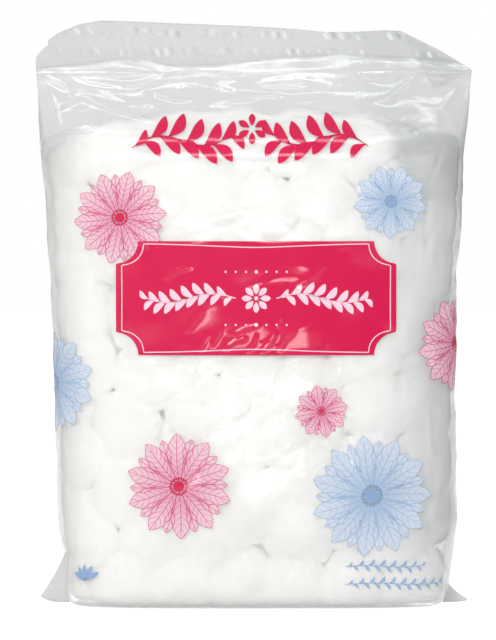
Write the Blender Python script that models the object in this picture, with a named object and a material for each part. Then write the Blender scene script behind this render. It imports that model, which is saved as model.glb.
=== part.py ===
"""A clear film pack of cotton balls, standing on its folded base.

The front faces -Y and the pack stands on z = 0. The film is a tube, sealed flat
across the top. The balls lie in two layers, pressed flat against each other and
against the film. Lengths are in metres.
"""

import math

import bmesh
import bpy
import numpy as np
from mathutils import Matrix, Vector
from mathutils.bvhtree import BVHTree

# The film bag
FLAT_WIDTH = 0.218  # the film tube laid flat, as it lies at the seal
BODY_WIDTH = 0.2015
BASE_WIDTH = 0.190
BODY_DEPTH = 0.0555  # between the bulges over the balls
BASE_DEPTH = 0.048
SHOULDER_DEPTH = 0.0505
BULGE = 0.0018  # how far a pressed ball pushes the film out
BULGE_REACH = 0.012  # from its middle to where the bulge has fallen to about a third
BASE_ROUND = 0.007  # radius of the edge round the base
BASE_RISE = 0.060  # height at which the base has widened into the body
WAIST_HEIGHT = 0.120  # above it, the body widens towards the flat seal
PACK_HEIGHT = 0.2893  # top edge of the seal, halfway across
SEAL_HEIGHT = 0.0233  # from its foot to its top edge, halfway across
LEAN_HEIGHT = 0.044  # of the stretch under the seal where the film leans in to it
WELD_RUN = 0.0016  # the inside ends this far under the seal's foot
SEAL_SETBACK = 0.007  # of the seal's foot, behind the middle of the pack
SEAL_LEAN = math.radians(35)
SEAL_SLANT = 0.0055  # how much higher the seal's left end is than its right
FILM = 0.0004
BODY_SQUARENESS = 2.3  # exponent of the oval section: 2 is an ellipse
BASE_SQUARENESS = 3.6

# Corners turned back off the ends of the seal
LEFT_CORNER_WIDTH = 0.0325
LEFT_CORNER_DROP = 0.018
LEFT_CORNER_ROUNDNESS = 2.4  # 1 is a straight fold
RIGHT_CORNER_WIDTH = 0.036
RIGHT_CORNER_DROP = 0.019
RIGHT_CORNER_ROUNDNESS = 1.0
CORNER_SWING = math.radians(130)  # how far the right corner is folded back

# Ears of doubled film at the lower corners
LEFT_EAR_REACH = 0.0125  # beyond the base
LEFT_EAR_HEIGHT = 0.027
RIGHT_EAR_REACH = 0.0128
RIGHT_EAR_HEIGHT = 0.010
EAR_TIP = 0.003  # height of an ear's blunt tip
EAR_SETBACK = 0.004
FOLD_OVERLAP = 0.004  # how far an ear or a folded corner runs into the bag

# The air vent in the back film
VENT_DIAMETER = 0.0035
VENT_DROP = 0.034  # below the seal's foot
VENT_OFFSET = 0.060  # to the right of the middle

# The cotton balls
BALL_DIAMETER = 0.0325  # loose, before it is pressed
BALL_PITCH = 0.0285  # between neighbours that press each other
HEADROOM = 0.019  # from the highest balls to the seal's foot
TOP_DROP = 0.018  # how much lower the balls lie at the sides than in the middle
BALL_SCATTER = 0.014
SETTLING_STEPS = 80
PRESSED = 0.72  # how near the film a ball's middle comes, as a share of its loose radius
ROW_CLOSENESS = 0.96  # of the rows at the start, as a share of the pitch
SINGLE_DEPTH = 1.45  # half depth of the pack, as a share of a pressed radius, that holds one layer only
CONTACT_GAP = 0.0003
FILM_GAP = 0.0005
FUSED_DEPTH = 0.0016  # how far two balls of the fused layer run into each other
SEPARATE_BALLS = 58
SEED = 55

# Facets
RING_POINTS = 38
FACE_CLOSENESS = 0.15  # how much closer those points lie on the front and back than at the sides
BODY_RINGS = 17
SHOULDER_RINGS = 6
SHARP_ANGLE = math.radians(50)

# Heights that follow from the sizes above
SEAL_FOOT = PACK_HEIGHT - SEAL_HEIGHT
SHOULDER_HEIGHT = SEAL_FOOT - LEAN_HEIGHT
FILL_HEIGHT = SEAL_FOOT - HEADROOM
VENT_HEIGHT = SEAL_FOOT - VENT_DROP

# Side (-1 is left, 1 is right), width, drop and roundness
CORNERS = (
    (-1, LEFT_CORNER_WIDTH, LEFT_CORNER_DROP, LEFT_CORNER_ROUNDNESS),
    (1, RIGHT_CORNER_WIDTH, RIGHT_CORNER_DROP, RIGHT_CORNER_ROUNDNESS),
)

COTTON_COLOUR = (0.93, 0.93, 0.92, 1)
FILM_COLOUR = (0.80, 0.82, 0.84, 1)


def smooth(height, low, high):
    """0 below low, 1 above high, and an S-curve between: 3t^2 - 2t^3."""
    t = np.clip((height - low) / (high - low), 0, 1)
    return t * t * (3 - 2 * t)


def edge_inset(height):
    """How far the rounded edge of the base draws in the section at this height."""
    up = min(max(height / BASE_ROUND, 0.0), 1.0)
    return BASE_ROUND * (1 - math.sqrt(1 - (1 - up) ** 2))


def section(height):
    """Half width, half depth, middle and squareness of the film's oval at a height up to the seal."""
    widened = smooth(height, 0, BASE_RISE)
    flattened = smooth(height, WAIST_HEIGHT, SEAL_FOOT + (SEAL_FOOT - WAIST_HEIGHT) / 8)
    half_width = BASE_WIDTH + (BODY_WIDTH - BASE_WIDTH) * widened
    half_width = (half_width + (FLAT_WIDTH - BODY_WIDTH) * flattened) / 2
    emptied = smooth(height, BASE_RISE, SHOULDER_HEIGHT)
    half_depth = BASE_DEPTH + (BODY_DEPTH - BASE_DEPTH) * widened
    half_depth = (half_depth + (SHOULDER_DEPTH - BODY_DEPTH) * emptied) / 2
    leaned = smooth(height, SHOULDER_HEIGHT, SEAL_FOOT)
    half_depth += (2.5 * FILM - half_depth) * leaned
    squareness = BASE_SQUARENESS + (BODY_SQUARENESS - BASE_SQUARENESS) * widened
    squareness += (2 - squareness) * leaned
    return half_width, half_depth, SEAL_SETBACK * leaned, squareness


def ring_angles():
    """Angles of the points round a ring, counted from the right side."""
    even = np.linspace(0, 2 * math.pi, RING_POINTS, endpoint=False)
    return even + FACE_CLOSENESS * np.sin(2 * even)


def depth_at(x, height):
    """Half depth of the pack's inside at this distance from its middle."""
    half_width, half_depth, _, squareness = section(height)
    share = np.clip(np.abs(x) / (half_width - FILM), 0, 1)
    return (half_depth - FILM) * (1 - share**squareness) ** (1 / squareness)


def pushed_out(x, height, side, centres):
    """How far the balls push the film out of its plain oval, on the front (-1) or the back (1)."""
    across, back, up = centres.T
    to_film = depth_at(across, up) - side * (back - section(up)[2])
    pressed = 1 - smooth(to_film, PRESSED * BALL_DIAMETER / 2, BALL_DIAMETER / 2 + BULGE)
    away = np.hypot(x[:, None] - across, height - up)
    return BULGE * np.minimum((pressed * np.exp(-((away / BULGE_REACH) ** 2))).sum(axis=1), 1)


def oval(height, inset, centres):
    """The points of the film's section at one height, drawn in by inset and pushed out by the balls."""
    half_width, half_depth, middle, squareness = section(height)
    inset += edge_inset(height - inset)
    angle = ring_angles()
    cosine, sine = np.cos(angle), np.sin(angle)
    x = (half_width - inset) * np.sign(cosine) * np.abs(cosine) ** (2 / squareness)
    y = (half_depth - inset) * np.sign(sine) * np.abs(sine) ** (2 / squareness)
    for side in (-1, 1):
        y += np.clip(side * sine, 0, 1) * side * pushed_out(x, height, side, centres)
    return np.stack([x, y + middle, np.full(RING_POINTS, height)], axis=1)


def seal_rise(side):
    """Height of the seal from its foot to its top edge, at its left end (-1) or its right end (1)."""
    return PACK_HEIGHT - SEAL_FOOT - side * SEAL_SLANT / 2


def seal_climbs():
    """Shares of the seal's height at its rings: its foot, points along both corners and its top edge."""
    climbs = {0.0, 1.0}
    for side, _, down, roundness in CORNERS:
        start = max(0.0, 1 - down / seal_rise(side))
        climbs.add(start)
        if roundness > 1:
            climbs.update(start + (1 - start) * share for share in (0.4, 0.7, 0.9))
    return sorted(climbs)


def seal_strip(climb):
    """The section of the flat seal, this share of the way from its foot to its top edge."""
    ends = []
    for side, across, down, roundness in CORNERS:
        top = seal_rise(side)
        folded = max(0.0, 1 - (1 - climb) * top / down) ** roundness
        x = side * (FLAT_WIDTH / 2 - across * folded)
        ends.append((x, climb * top))
    (left, left_rise), (right, right_rise) = ends
    angle = ring_angles()
    share = (1 + np.cos(angle)) / 2
    x = left + (right - left) * share
    up = left_rise + (right_rise - left_rise) * share
    y = SEAL_SETBACK + up * math.tan(SEAL_LEAN) + FILM * np.clip(3 * np.sin(angle), -1, 1)
    return np.stack([x, y, SEAL_FOOT + up], axis=1)


def lofted(name, rings):
    """A closed mesh through rings of as many points each, with a fan over each end."""
    points = np.concatenate([*rings, [rings[0].mean(axis=0)], [rings[-1].mean(axis=0)]])
    around = len(rings[0])
    last = len(rings) - 1
    faces = []
    for here in range(around):
        after = (here + 1) % around
        for level in range(last):
            low, high = level * around, (level + 1) * around
            faces.append((low + here, low + after, high + after, high + here))
        faces.append((after, here, len(points) - 2))
        faces.append((last * around + here, last * around + after, len(points) - 1))
    mesh = bpy.data.meshes.new(name)
    mesh.from_pydata(points.tolist(), [], faces)
    return mesh


def body_heights(low):
    """Heights of the body's rings from low up to the seal, closer where the film turns."""
    turns = [low, low + BASE_ROUND * 0.13, low + BASE_ROUND * 0.5, low + BASE_ROUND]
    straight = np.linspace(low + BASE_ROUND, SHOULDER_HEIGHT, BODY_RINGS)[1:]
    leaning = np.linspace(SHOULDER_HEIGHT, SEAL_FOOT - WELD_RUN, SHOULDER_RINGS)[1:]
    return [*turns, *straight, *leaning]


def placed(name, mesh, collection, material=None):
    """An object for this mesh, in this collection."""
    mesh.shade_smooth()
    mesh.set_sharp_from_angle(angle=SHARP_ANGLE)
    thing = bpy.data.objects.new(name, mesh)
    collection.objects.link(thing)
    if material:
        mesh.materials.append(material)
    return thing


def helper(name, mesh, collection):
    """An object that only cuts or adds to another."""
    thing = placed(name, mesh, collection)
    thing.hide_render = True
    thing.display_type = "WIRE"
    return thing


def plate(name, corners, thickness):
    """A flat plate on these corners in space, half its thickness to each side."""
    flat = bmesh.new()
    face = flat.faces.new([flat.verts.new(corner) for corner in corners])
    face.normal_update()
    half = face.normal * thickness / 2
    bmesh.ops.translate(flat, verts=flat.verts, vec=-half)
    grown = bmesh.ops.extrude_face_region(flat, geom=[face])
    raised = [part for part in grown["geom"] if isinstance(part, bmesh.types.BMVert)]
    bmesh.ops.translate(flat, verts=raised, vec=2 * half)
    bmesh.ops.recalc_face_normals(flat, faces=flat.faces)
    mesh = bpy.data.meshes.new(name)
    flat.to_mesh(mesh)
    flat.free()
    return mesh


def seal_point(x, up):
    """A point in the leaning plane of the seal, this far above its foot."""
    return Vector((x, SEAL_SETBACK + up * math.tan(SEAL_LEAN), SEAL_FOOT + up))


def folded_corner(name, side, across, down):
    """The corner of the seal, turned back about its straight fold line."""
    half_flat = FLAT_WIDTH / 2
    top = seal_rise(side)
    low_end = seal_point(side * half_flat, top - down)
    high_end = seal_point(side * (half_flat - across), top)
    corner = seal_point(side * half_flat, top)
    line = (high_end - low_end).normalized()
    turn = Matrix.Rotation(side * CORNER_SWING, 4, line)
    turned = low_end + turn @ (corner - low_end)
    inward = seal_point(0, top / 2) - low_end
    inward = (inward - line * inward.dot(line)).normalized() * FOLD_OVERLAP / 4
    return plate(name, [point + inward for point in (low_end, high_end, turned)], 2 * FILM)


def ear(name, side, reach, height):
    """The triangle of doubled film that stands out at a lower corner."""
    foot = side * BASE_WIDTH / 2
    inner = side * (section(height)[0] - FOLD_OVERLAP)
    outline = [
        (inner, 0),
        (foot + side * (reach - EAR_TIP / 3), 0),
        (foot + side * reach, EAR_TIP),
        (side * section(height)[0], height),
        (inner, height),
    ]
    return plate(name, [(x, EAR_SETBACK, z) for x, z in outline], 2 * FILM)


def add_boolean(thing, name, operation, operand):
    """An exact Boolean with an object or with a collection of them."""
    cut = thing.modifiers.new(name, "BOOLEAN")
    cut.operation = operation
    cut.solver = "EXACT"
    if isinstance(operand, bpy.types.Collection):
        cut.operand_type = "COLLECTION"
        cut.collection = operand
    else:
        cut.object = operand


def cavity_mesh(centres):
    """The inside of the bag, from just above its base to just under its seal."""
    return lofted("cavity", [oval(height, FILM, centres) for height in body_heights(FILM)])


def vent_cutter():
    """A round cutter through the back film near the top."""
    half_depth, middle = section(VENT_HEIGHT)[1:3]
    tool = bmesh.new()
    place = Matrix.Translation((VENT_OFFSET, middle + half_depth, VENT_HEIGHT))
    bmesh.ops.create_cone(
        tool,
        cap_ends=True,
        segments=12,
        radius1=VENT_DIAMETER / 2,
        radius2=VENT_DIAMETER / 2,
        depth=BODY_DEPTH / 2,
        matrix=place @ Matrix.Rotation(math.pi / 2, 4, "X"),
    )
    mesh = bpy.data.meshes.new("vent")
    tool.to_mesh(mesh)
    tool.free()
    return mesh


def film_bag(parts, cutters, folds, material, centres):
    """The film: one loft from the base to the top edge, its folds added, its inside and vent cut out."""
    rings = [oval(height, 0, centres) for height in body_heights(0)]
    rings += [seal_strip(climb) for climb in seal_climbs()]
    bag = placed("film_bag", lofted("film_bag", rings), parts, material)
    helper("left_ear", ear("left_ear", -1, LEFT_EAR_REACH, LEFT_EAR_HEIGHT), folds)
    helper("right_ear", ear("right_ear", 1, RIGHT_EAR_REACH, RIGHT_EAR_HEIGHT), folds)
    flap = folded_corner("right_corner", 1, RIGHT_CORNER_WIDTH, RIGHT_CORNER_DROP)
    helper("right_corner", flap, folds)
    cavity = helper("cavity", cavity_mesh(centres), cutters)
    vent = helper("vent", vent_cutter(), cutters)
    add_boolean(bag, "folds", "UNION", folds)
    add_boolean(bag, "cavity", "DIFFERENCE", cavity)
    add_boolean(bag, "vent", "DIFFERENCE", vent)


def held_in(centres):
    """The centres, moved the shortest way in from the film, the floor and the fill height."""
    near = PRESSED * BALL_DIAMETER / 2
    x, y, z = centres.T
    drop = TOP_DROP * (x / (FLAT_WIDTH / 2)) ** 2
    z = np.clip(z, FILM + near, FILL_HEIGHT - BALL_DIAMETER / 2 - drop)
    half_width, _, middle, _ = section(z)
    reach = half_width - BALL_DIAMETER / 2
    x = np.clip(x, -reach, reach)
    play = np.clip(depth_at(x, z) - near, 0, None)
    return np.stack([x, np.clip(y, middle - play, middle + play), z], axis=1)


def settled(centres):
    """The centres after the balls have pushed each other apart, a little at a time."""
    for _ in range(SETTLING_STEPS):
        apart = centres[:, None] - centres[None]
        distance = np.linalg.norm(apart, axis=2) + np.eye(len(centres))
        push = np.clip(BALL_PITCH - distance, 0, None) / distance
        centres = held_in(centres + 0.4 * (apart * push[..., None]).sum(axis=1))
    return centres


def ball_centres():
    """The middles of the balls: a front and a back layer, scattered and then settled.

    Where the pack is too thin for two balls, a single one lies between the layers.
    """
    rng = np.random.default_rng(SEED)
    near = PRESSED * BALL_DIAMETER / 2
    rows = round((FILL_HEIGHT - BALL_DIAMETER) / (ROW_CLOSENESS * BALL_PITCH)) + 1
    columns = round((BODY_WIDTH - BALL_DIAMETER) / BALL_PITCH) + 1
    starts = []
    for side in (-1, 1):
        for height in np.linspace(near, FILL_HEIGHT - BALL_DIAMETER / 2, rows):
            reach = section(height)[0] - BALL_DIAMETER / 2
            for x in np.linspace(-reach, reach, columns):
                half_depth = depth_at(x, height)
                if half_depth < SINGLE_DEPTH * near and side > 0:
                    continue
                starts.append((x, side * half_depth / 2, height))
    scatter = rng.uniform(-BALL_SCATTER, BALL_SCATTER, (len(starts), 3)) * (1, 0.3, 1)
    return settled(held_in(np.array(starts) + scatter))


def ball_mesh(name, centre, others, film, turned):
    """One ball: each point of a sphere is drawn in to the nearest of three limits.

    They are the loose radius, the plane midway to each neighbour and the film.
    others holds each neighbour's centre with the gap to keep from it.
    """
    shape = bmesh.new()
    bmesh.ops.create_icosphere(shape, subdivisions=2, radius=1, matrix=turned)
    origin = Vector(centre)
    for point in shape.verts:
        way = point.co.normalized()
        length = BALL_DIAMETER / 2
        for other, gap in others:
            apart = Vector(other) - origin
            facing = way.dot(apart.normalized())
            if facing > 0:
                length = min(length, (apart.length - gap) / 2 / facing)
        wall = film.ray_cast(origin, way)[3]
        if wall is not None:
            length = min(length, wall - FILM_GAP)
        point.co = way * length
    mesh = bpy.data.meshes.new(name)
    shape.to_mesh(mesh)
    shape.free()
    return mesh


def fused_pairs(centres):
    """(fused, pairs): which balls are fused, and each of those with the one that it hangs on.

    They are taken from the rearmost forward, each one pressed against one taken before it.
    """
    distance = np.linalg.norm(centres[:, None] - centres[None], axis=2)
    rearward = centres[:, 1] - section(centres[:, 2])[2]
    fused = np.zeros(len(centres), bool)
    fused[rearward.argmax()] = True
    pairs = set()
    while len(centres) - fused.sum() > SEPARATE_BALLS:
        nearest = np.where(fused, distance, np.inf).min(axis=1)
        reached = (nearest < BALL_PITCH + FUSED_DEPTH / 2) & ~fused
        if not reached.any():
            break
        taken = int(np.where(reached, rearward, -1).argmax())
        carrier = int(np.where(fused, distance[taken], np.inf).argmin())
        pairs |= {(taken, carrier), (carrier, taken)}
        fused[taken] = True
    return fused, pairs


def cotton_balls(parts, fused, film, material, centres):
    """Every ball: those of the front layer are separate objects, and the others are fused into one."""
    behind, pairs = fused_pairs(centres)
    rng = np.random.default_rng(SEED)
    front = 0
    back = None
    for number, centre in enumerate(centres):
        others = []
        for place, other in enumerate(centres):
            if place != number and math.dist(centre, other) < 2 * BALL_DIAMETER:
                gap = -FUSED_DEPTH if (number, place) in pairs else CONTACT_GAP
                others.append((other, gap))
        angles = rng.uniform(0, 2 * math.pi, 2)
        turned = Matrix.Rotation(angles[0], 4, "X") @ Matrix.Rotation(angles[1], 4, "Z")
        mesh = ball_mesh(f"ball_{number + 1:03d}", centre, others, film, turned)
        if not behind[number]:
            front += 1
            ball = placed(f"cotton_ball_{front:02d}", mesh, parts, material)
        elif not back:
            ball = back = placed("cotton_balls_back", mesh, parts, material)
        else:
            ball = helper(mesh.name, mesh, fused)
        ball.location = centre
    add_boolean(back, "fused", "UNION", fused)


def finish(name, colour, roughness, alpha=1.0):
    """A Principled material."""
    material = bpy.data.materials.new(name)
    material.use_nodes = True
    shader = material.node_tree.nodes["Principled BSDF"]
    shader.inputs["Base Color"].default_value = colour
    shader.inputs["Roughness"].default_value = roughness
    shader.inputs["Metallic"].default_value = 0
    shader.inputs["Alpha"].default_value = alpha
    return material


def new_collection(name):
    made = bpy.data.collections.new(name)
    bpy.context.scene.collection.children.link(made)
    return made


def main():
    for thing in list(bpy.data.objects):
        bpy.data.objects.remove(thing)
    parts = new_collection("cotton_ball_pack")
    cutters = new_collection("cutters")
    folds = new_collection("folds")
    fused = new_collection("fused_balls")
    centres = ball_centres()
    film_bag(parts, cutters, folds, finish("film", FILM_COLOUR, 0.12, 0.3), centres)
    inside = bmesh.new()
    inside.from_mesh(bpy.data.meshes["cavity"])
    bmesh.ops.triangulate(inside, faces=inside.faces)
    film = BVHTree.FromBMesh(inside)
    inside.free()
    cotton_balls(parts, fused, film, finish("cotton", COTTON_COLOUR, 0.95), centres)


main()
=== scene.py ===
import math

import bmesh
import bpy
import numpy as np
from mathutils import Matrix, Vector


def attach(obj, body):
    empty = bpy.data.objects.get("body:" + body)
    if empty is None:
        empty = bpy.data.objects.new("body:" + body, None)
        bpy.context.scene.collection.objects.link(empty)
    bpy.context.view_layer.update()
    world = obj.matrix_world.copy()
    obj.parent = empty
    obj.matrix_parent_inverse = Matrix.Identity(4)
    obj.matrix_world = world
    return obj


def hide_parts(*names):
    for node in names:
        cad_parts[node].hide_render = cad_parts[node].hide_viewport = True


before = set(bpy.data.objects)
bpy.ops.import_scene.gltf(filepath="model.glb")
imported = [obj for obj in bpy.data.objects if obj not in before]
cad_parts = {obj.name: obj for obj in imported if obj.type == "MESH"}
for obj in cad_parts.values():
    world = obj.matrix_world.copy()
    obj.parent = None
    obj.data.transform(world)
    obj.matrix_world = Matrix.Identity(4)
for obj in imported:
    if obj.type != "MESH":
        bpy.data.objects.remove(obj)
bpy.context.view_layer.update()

mm = 0.001
print("frame:", len(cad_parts), "nodes")

# The pack's form, as in the part's own source
pack = {
    "flatWidth": 0.218,
    "bodyWidth": 0.2015,
    "baseWidth": 0.190,
    "bodyDepth": 0.0555,
    "baseDepth": 0.048,
    "shoulderDepth": 0.0505,
    "baseRound": 0.007,
    "baseRise": 0.060,
    "waist": 0.120,
    "height": 0.2893,
    "sealHeight": 0.0233,
    "leanHeight": 0.044,
    "setback": 0.007,
    "lean": math.radians(35),
    "film": 0.0004,
    "bodySquareness": 2.3,
    "baseSquareness": 3.6,
    "bulge": 0.0018,  # how far a pressed ball pushes the film out
    "bulgeReach": 0.012,
}
pack["sealFoot"] = pack["height"] - pack["sealHeight"]
pack["shoulder"] = pack["sealFoot"] - pack["leanHeight"]


def ease(value, low, high):
    # 3t^2 - 2t^3, with t from 0 at low to 1 at high
    t = np.clip((value - low) / (high - low), 0, 1)
    return t * t * (3 - 2 * t)


def section(height):
    # half width, half depth, middle and squareness of the pack's oval at a height
    widened = ease(height, 0, pack["baseRise"])
    above = pack["sealFoot"] - pack["waist"]
    flattened = ease(height, pack["waist"], pack["sealFoot"] + above / 8)
    halfWidth = pack["baseWidth"] + (pack["bodyWidth"] - pack["baseWidth"]) * widened
    halfWidth = (halfWidth + (pack["flatWidth"] - pack["bodyWidth"]) * flattened) / 2
    emptied = ease(height, pack["baseRise"], pack["shoulder"])
    halfDepth = pack["baseDepth"] + (pack["bodyDepth"] - pack["baseDepth"]) * widened
    halfDepth = (halfDepth + (pack["shoulderDepth"] - pack["bodyDepth"]) * emptied) / 2
    leaned = ease(height, pack["shoulder"], pack["sealFoot"])
    halfDepth = halfDepth + (2.5 * pack["film"] - halfDepth) * leaned
    square = pack["baseSquareness"] + (pack["bodySquareness"] - pack["baseSquareness"]) * widened
    square = square + (2 - square) * leaned
    return halfWidth, halfDepth, pack["setback"] * leaned, square


def blurred(values, spread, axis):
    # each value becomes the mean of its neighbours, weighted by exp(-d^2 / 2 spread^2)
    reach = int(math.ceil(3 * spread))
    weights = np.exp(-0.5 * (np.arange(-reach, reach + 1) / spread) ** 2)
    weights /= weights.sum()
    wide = [(0, 0)] * values.ndim
    wide[axis] = (reach, reach)
    padded = np.pad(values, wide, mode="edge")
    return sum(
        weight * np.take(padded, np.arange(step, step + values.shape[axis]), axis=axis)
        for step, weight in enumerate(weights)
    )


def alongTable(height, knotsMm, valuesMm):
    # a line through the knots, with its corners rounded
    stepMm, roundMm = 0.5, 2.0
    fine = np.arange(-10, 310, stepMm)
    line = blurred(np.interp(fine, knotsMm, valuesMm), roundMm / stepMm, 0)
    return np.interp(height / mm, fine, line) * mm


# A socket of a node tree, written like a number: each operator adds a Math node
class Wire:
    def __init__(self, paint, socket):
        self.paint, self.socket = paint, socket

    def maths(self, operation, *operands, clamp=False):
        settings = {"operation": operation, "use_clamp": clamp}
        return self.paint.add("Math", settings, dict(enumerate(operands)))

    def __add__(self, other):
        return self.maths("ADD", self, other)

    def __sub__(self, other):
        return self.maths("SUBTRACT", self, other)

    def __mul__(self, other):
        return self.maths("MULTIPLY", self, other)

    def __rsub__(self, other):
        return self.maths("SUBTRACT", other, self)

    __radd__ = __add__
    __rmul__ = __mul__

    def clipped(self):
        return self.maths("ADD", self, 0.0, clamp=True)

    def eased(self, low, high):
        settings = {"interpolation_type": "SMOOTHSTEP"}
        return self.paint.add("MapRange", settings, {0: self, 1: low, 2: high, 3: 0.0, 4: 1.0})

    def output(self, name):
        return Wire(self.paint, self.socket.node.outputs[name])


# The nodes of one material or of the world
class Paint:
    def __init__(self, owner):
        self.owner = owner
        self.owner.use_nodes = True
        self.tree = self.owner.node_tree
        self.tree.nodes.clear()

    def add(self, kind, settings=None, sockets=None, result=0):
        made = self.tree.nodes.new("ShaderNode" + kind)
        for name, value in (settings or {}).items():
            setattr(made, name, value)
        for key, value in (sockets or {}).items():
            if isinstance(value, Wire):
                self.tree.links.new(value.socket, made.inputs[key])
            else:
                made.inputs[key].default_value = value
        return Wire(self, made.outputs[result]) if made.outputs else None

    def place(self):
        return self.add("TexCoord").output("Object")

    def noise(self, scale, detail, roughness=0.5, distortion=0.0, place=None):
        values = {
            "Scale": scale,
            "Detail": detail,
            "Roughness": roughness,
            "Distortion": distortion,
            "Vector": place or self.place(),
        }
        return self.add("TexNoise", None, values)

    def stretched(self, scale):
        return self.add("Mapping", None, {"Vector": self.place(), "Scale": scale})

    def mixed(self, share, first, second):
        return self.add("Mix", {"data_type": "RGBA"}, {0: share, 6: first, 7: second}, result=2)

    def bump(self, height, strength, distance, under=None):
        values = {"Height": height, "Strength": strength, "Distance": distance}
        if under is not None:
            values["Normal"] = under
        return self.add("Bump", None, values)

    def attribute(self, name):
        return self.add("Attribute", {"attribute_name": name}).output("Fac")

    def finished(self, shader):
        kind = "OutputWorld" if isinstance(self.owner, bpy.types.World) else "OutputMaterial"
        self.add(kind, None, {"Surface": shader})
        return self.owner


def newPaint(name):
    return Paint(bpy.data.materials.new(name))


def shown(red, green, blue):
    # a colour as a screen shows it, 0 to 255, turned into the light that it stands for
    parts = np.array([red, green, blue]) / 255
    parts = np.where(parts <= 0.04045, parts / 12.92, ((parts + 0.055) / 1.055) ** 2.4)
    return (*parts.tolist(), 1.0)


def linked(name, content):
    # a new object of the scene that holds a mesh, a lamp or a camera
    made = bpy.data.objects.new(name, content)
    bpy.context.scene.collection.objects.link(made)
    return made


def pieceOf(name, mesh, material, attributes=None):
    # a mesh as a smooth piece of the pack, with a value at each point for each attribute
    mesh.validate()
    mesh.shade_smooth()
    mesh.materials.append(material)
    for key, values in (attributes or {}).items():
        layer = mesh.attributes.new(key, "FLOAT", "POINT")
        layer.data.foreach_set("value", np.asarray(values, np.float32).ravel())
    piece = linked(name, mesh)
    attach(piece, "root")
    return piece


def newPiece(name, points, faces, material, attributes=None):
    # points is n x 3, and faces is m x 3 or m x 4
    mesh = bpy.data.meshes.new(name)
    corners = faces.shape[1]
    mesh.vertices.add(len(points))
    mesh.vertices.foreach_set("co", np.asarray(points, np.float32).ravel())
    mesh.loops.add(faces.size)
    mesh.loops.foreach_set("vertex_index", faces.astype(np.int32).ravel())
    mesh.polygons.add(len(faces))
    mesh.polygons.foreach_set("loop_start", np.arange(0, faces.size, corners, dtype=np.int32))
    mesh.update(calc_edges=True)
    return pieceOf(name, mesh, material, attributes)


def gridFaces(rows, columns, closed=False):
    # quads between neighbouring rows, and round to the first column where closed
    row = np.arange(rows - 1)[:, None] * columns
    here = np.arange(columns if closed else columns - 1)[None]
    after = (here + 1) % columns
    quads = np.stack([row + here, row + after, row + columns + after, row + columns + here], axis=-1)
    return quads.reshape(-1, 4)


# The balls: where they lie comes out as in the part's source
ball = {
    "diameter": 0.0325,
    "pitch": 0.0285,
    "fillHeight": pack["sealFoot"] - 0.019,
    "topDrop": 0.018,
    "scatter": 0.014,
    "steps": 80,
    "pressed": 0.72,
    "rowCloseness": 0.96,
    "singleDepth": 1.45,
    "fusedDepth": 0.0016,
    "separate": 58,
    "seed": 55,
    "subdivisions": 5,
    "swell": 1.42,  # the cotton reaches a little past the solid's loose radius, into the hollows
    "contactGap": -0.0098,  # below zero, neighbours run into each other like loose wool
    "filmGap": 0.0005,
    "softEdge": 0.0042,  # how widely the flats are rounded off
    "wander": 0.12,  # how unevenly the flats between balls lie, as a share of their distance
    "lump": 0.05,  # depth of the broad lumps, as a share of the radius
    "tuft": 0.0005,  # depth of the fine unevenness
}


def depthAt(x, height):
    halfWidth, halfDepth, _, square = section(height)
    share = np.clip(np.abs(x) / (halfWidth - pack["film"]), 0, 1)
    return (halfDepth - pack["film"]) * (1 - share**square) ** (1 / square)


def heldIn(centres):
    # each centre moved the shortest way in from the film, the floor and the domed top
    near = ball["pressed"] * ball["diameter"] / 2
    x, y, z = centres.T
    drop = ball["topDrop"] * (x / (pack["flatWidth"] / 2)) ** 2
    z = np.clip(z, pack["film"] + near, ball["fillHeight"] - ball["diameter"] / 2 - drop)
    halfWidth, _, middle, _ = section(z)
    reach = halfWidth - ball["diameter"] / 2
    x = np.clip(x, -reach, reach)
    play = np.clip(depthAt(x, z) - near, 0, None)
    return np.stack([x, np.clip(y, middle - play, middle + play), z], axis=1)


def ballCentres():
    # two scattered layers, whose balls then push each other apart a little at a time
    rng = np.random.default_rng(ball["seed"])
    near = ball["pressed"] * ball["diameter"] / 2
    top = ball["fillHeight"] - ball["diameter"] / 2
    rows = round((ball["fillHeight"] - ball["diameter"]) / (ball["rowCloseness"] * ball["pitch"])) + 1
    columns = round((pack["bodyWidth"] - ball["diameter"]) / ball["pitch"]) + 1
    starts = []
    for side in (-1, 1):
        for height in np.linspace(near, top, rows):
            reach = section(height)[0] - ball["diameter"] / 2
            for x in np.linspace(-reach, reach, columns):
                halfDepth = depthAt(x, height)
                if side < 0 or halfDepth >= ball["singleDepth"] * near:
                    starts.append((x, side * halfDepth / 2, height))
    scatter = rng.uniform(-ball["scatter"], ball["scatter"], (len(starts), 3)) * (1, 0.3, 1)
    centres = heldIn(np.array(starts) + scatter)
    for _ in range(ball["steps"]):
        apart = centres[:, None] - centres[None]
        distance = np.linalg.norm(apart, axis=2) + np.eye(len(centres))
        push = np.clip(ball["pitch"] - distance, 0, None) / distance
        centres = heldIn(centres + 0.4 * (apart * push[..., None]).sum(axis=1))
    return centres


def backBalls(centres):
    # which balls the part holds as one solid, taken from the rearmost forward
    distance = np.linalg.norm(centres[:, None] - centres[None], axis=2)
    rearward = centres[:, 1] - section(centres[:, 2])[2]
    behind = np.zeros(len(centres), bool)
    behind[rearward.argmax()] = True
    while len(centres) - behind.sum() > ball["separate"]:
        nearest = np.where(behind, distance, np.inf).min(axis=1)
        reached = (nearest < ball["pitch"] + ball["fusedDepth"] / 2) & ~behind
        behind[int(np.where(reached, rearward, -1).argmax())] = True
    return behind


centres = ballCentres()
behind = backBalls(centres)
print("balls:", len(centres), "of them behind:", int(behind.sum()))

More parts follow.
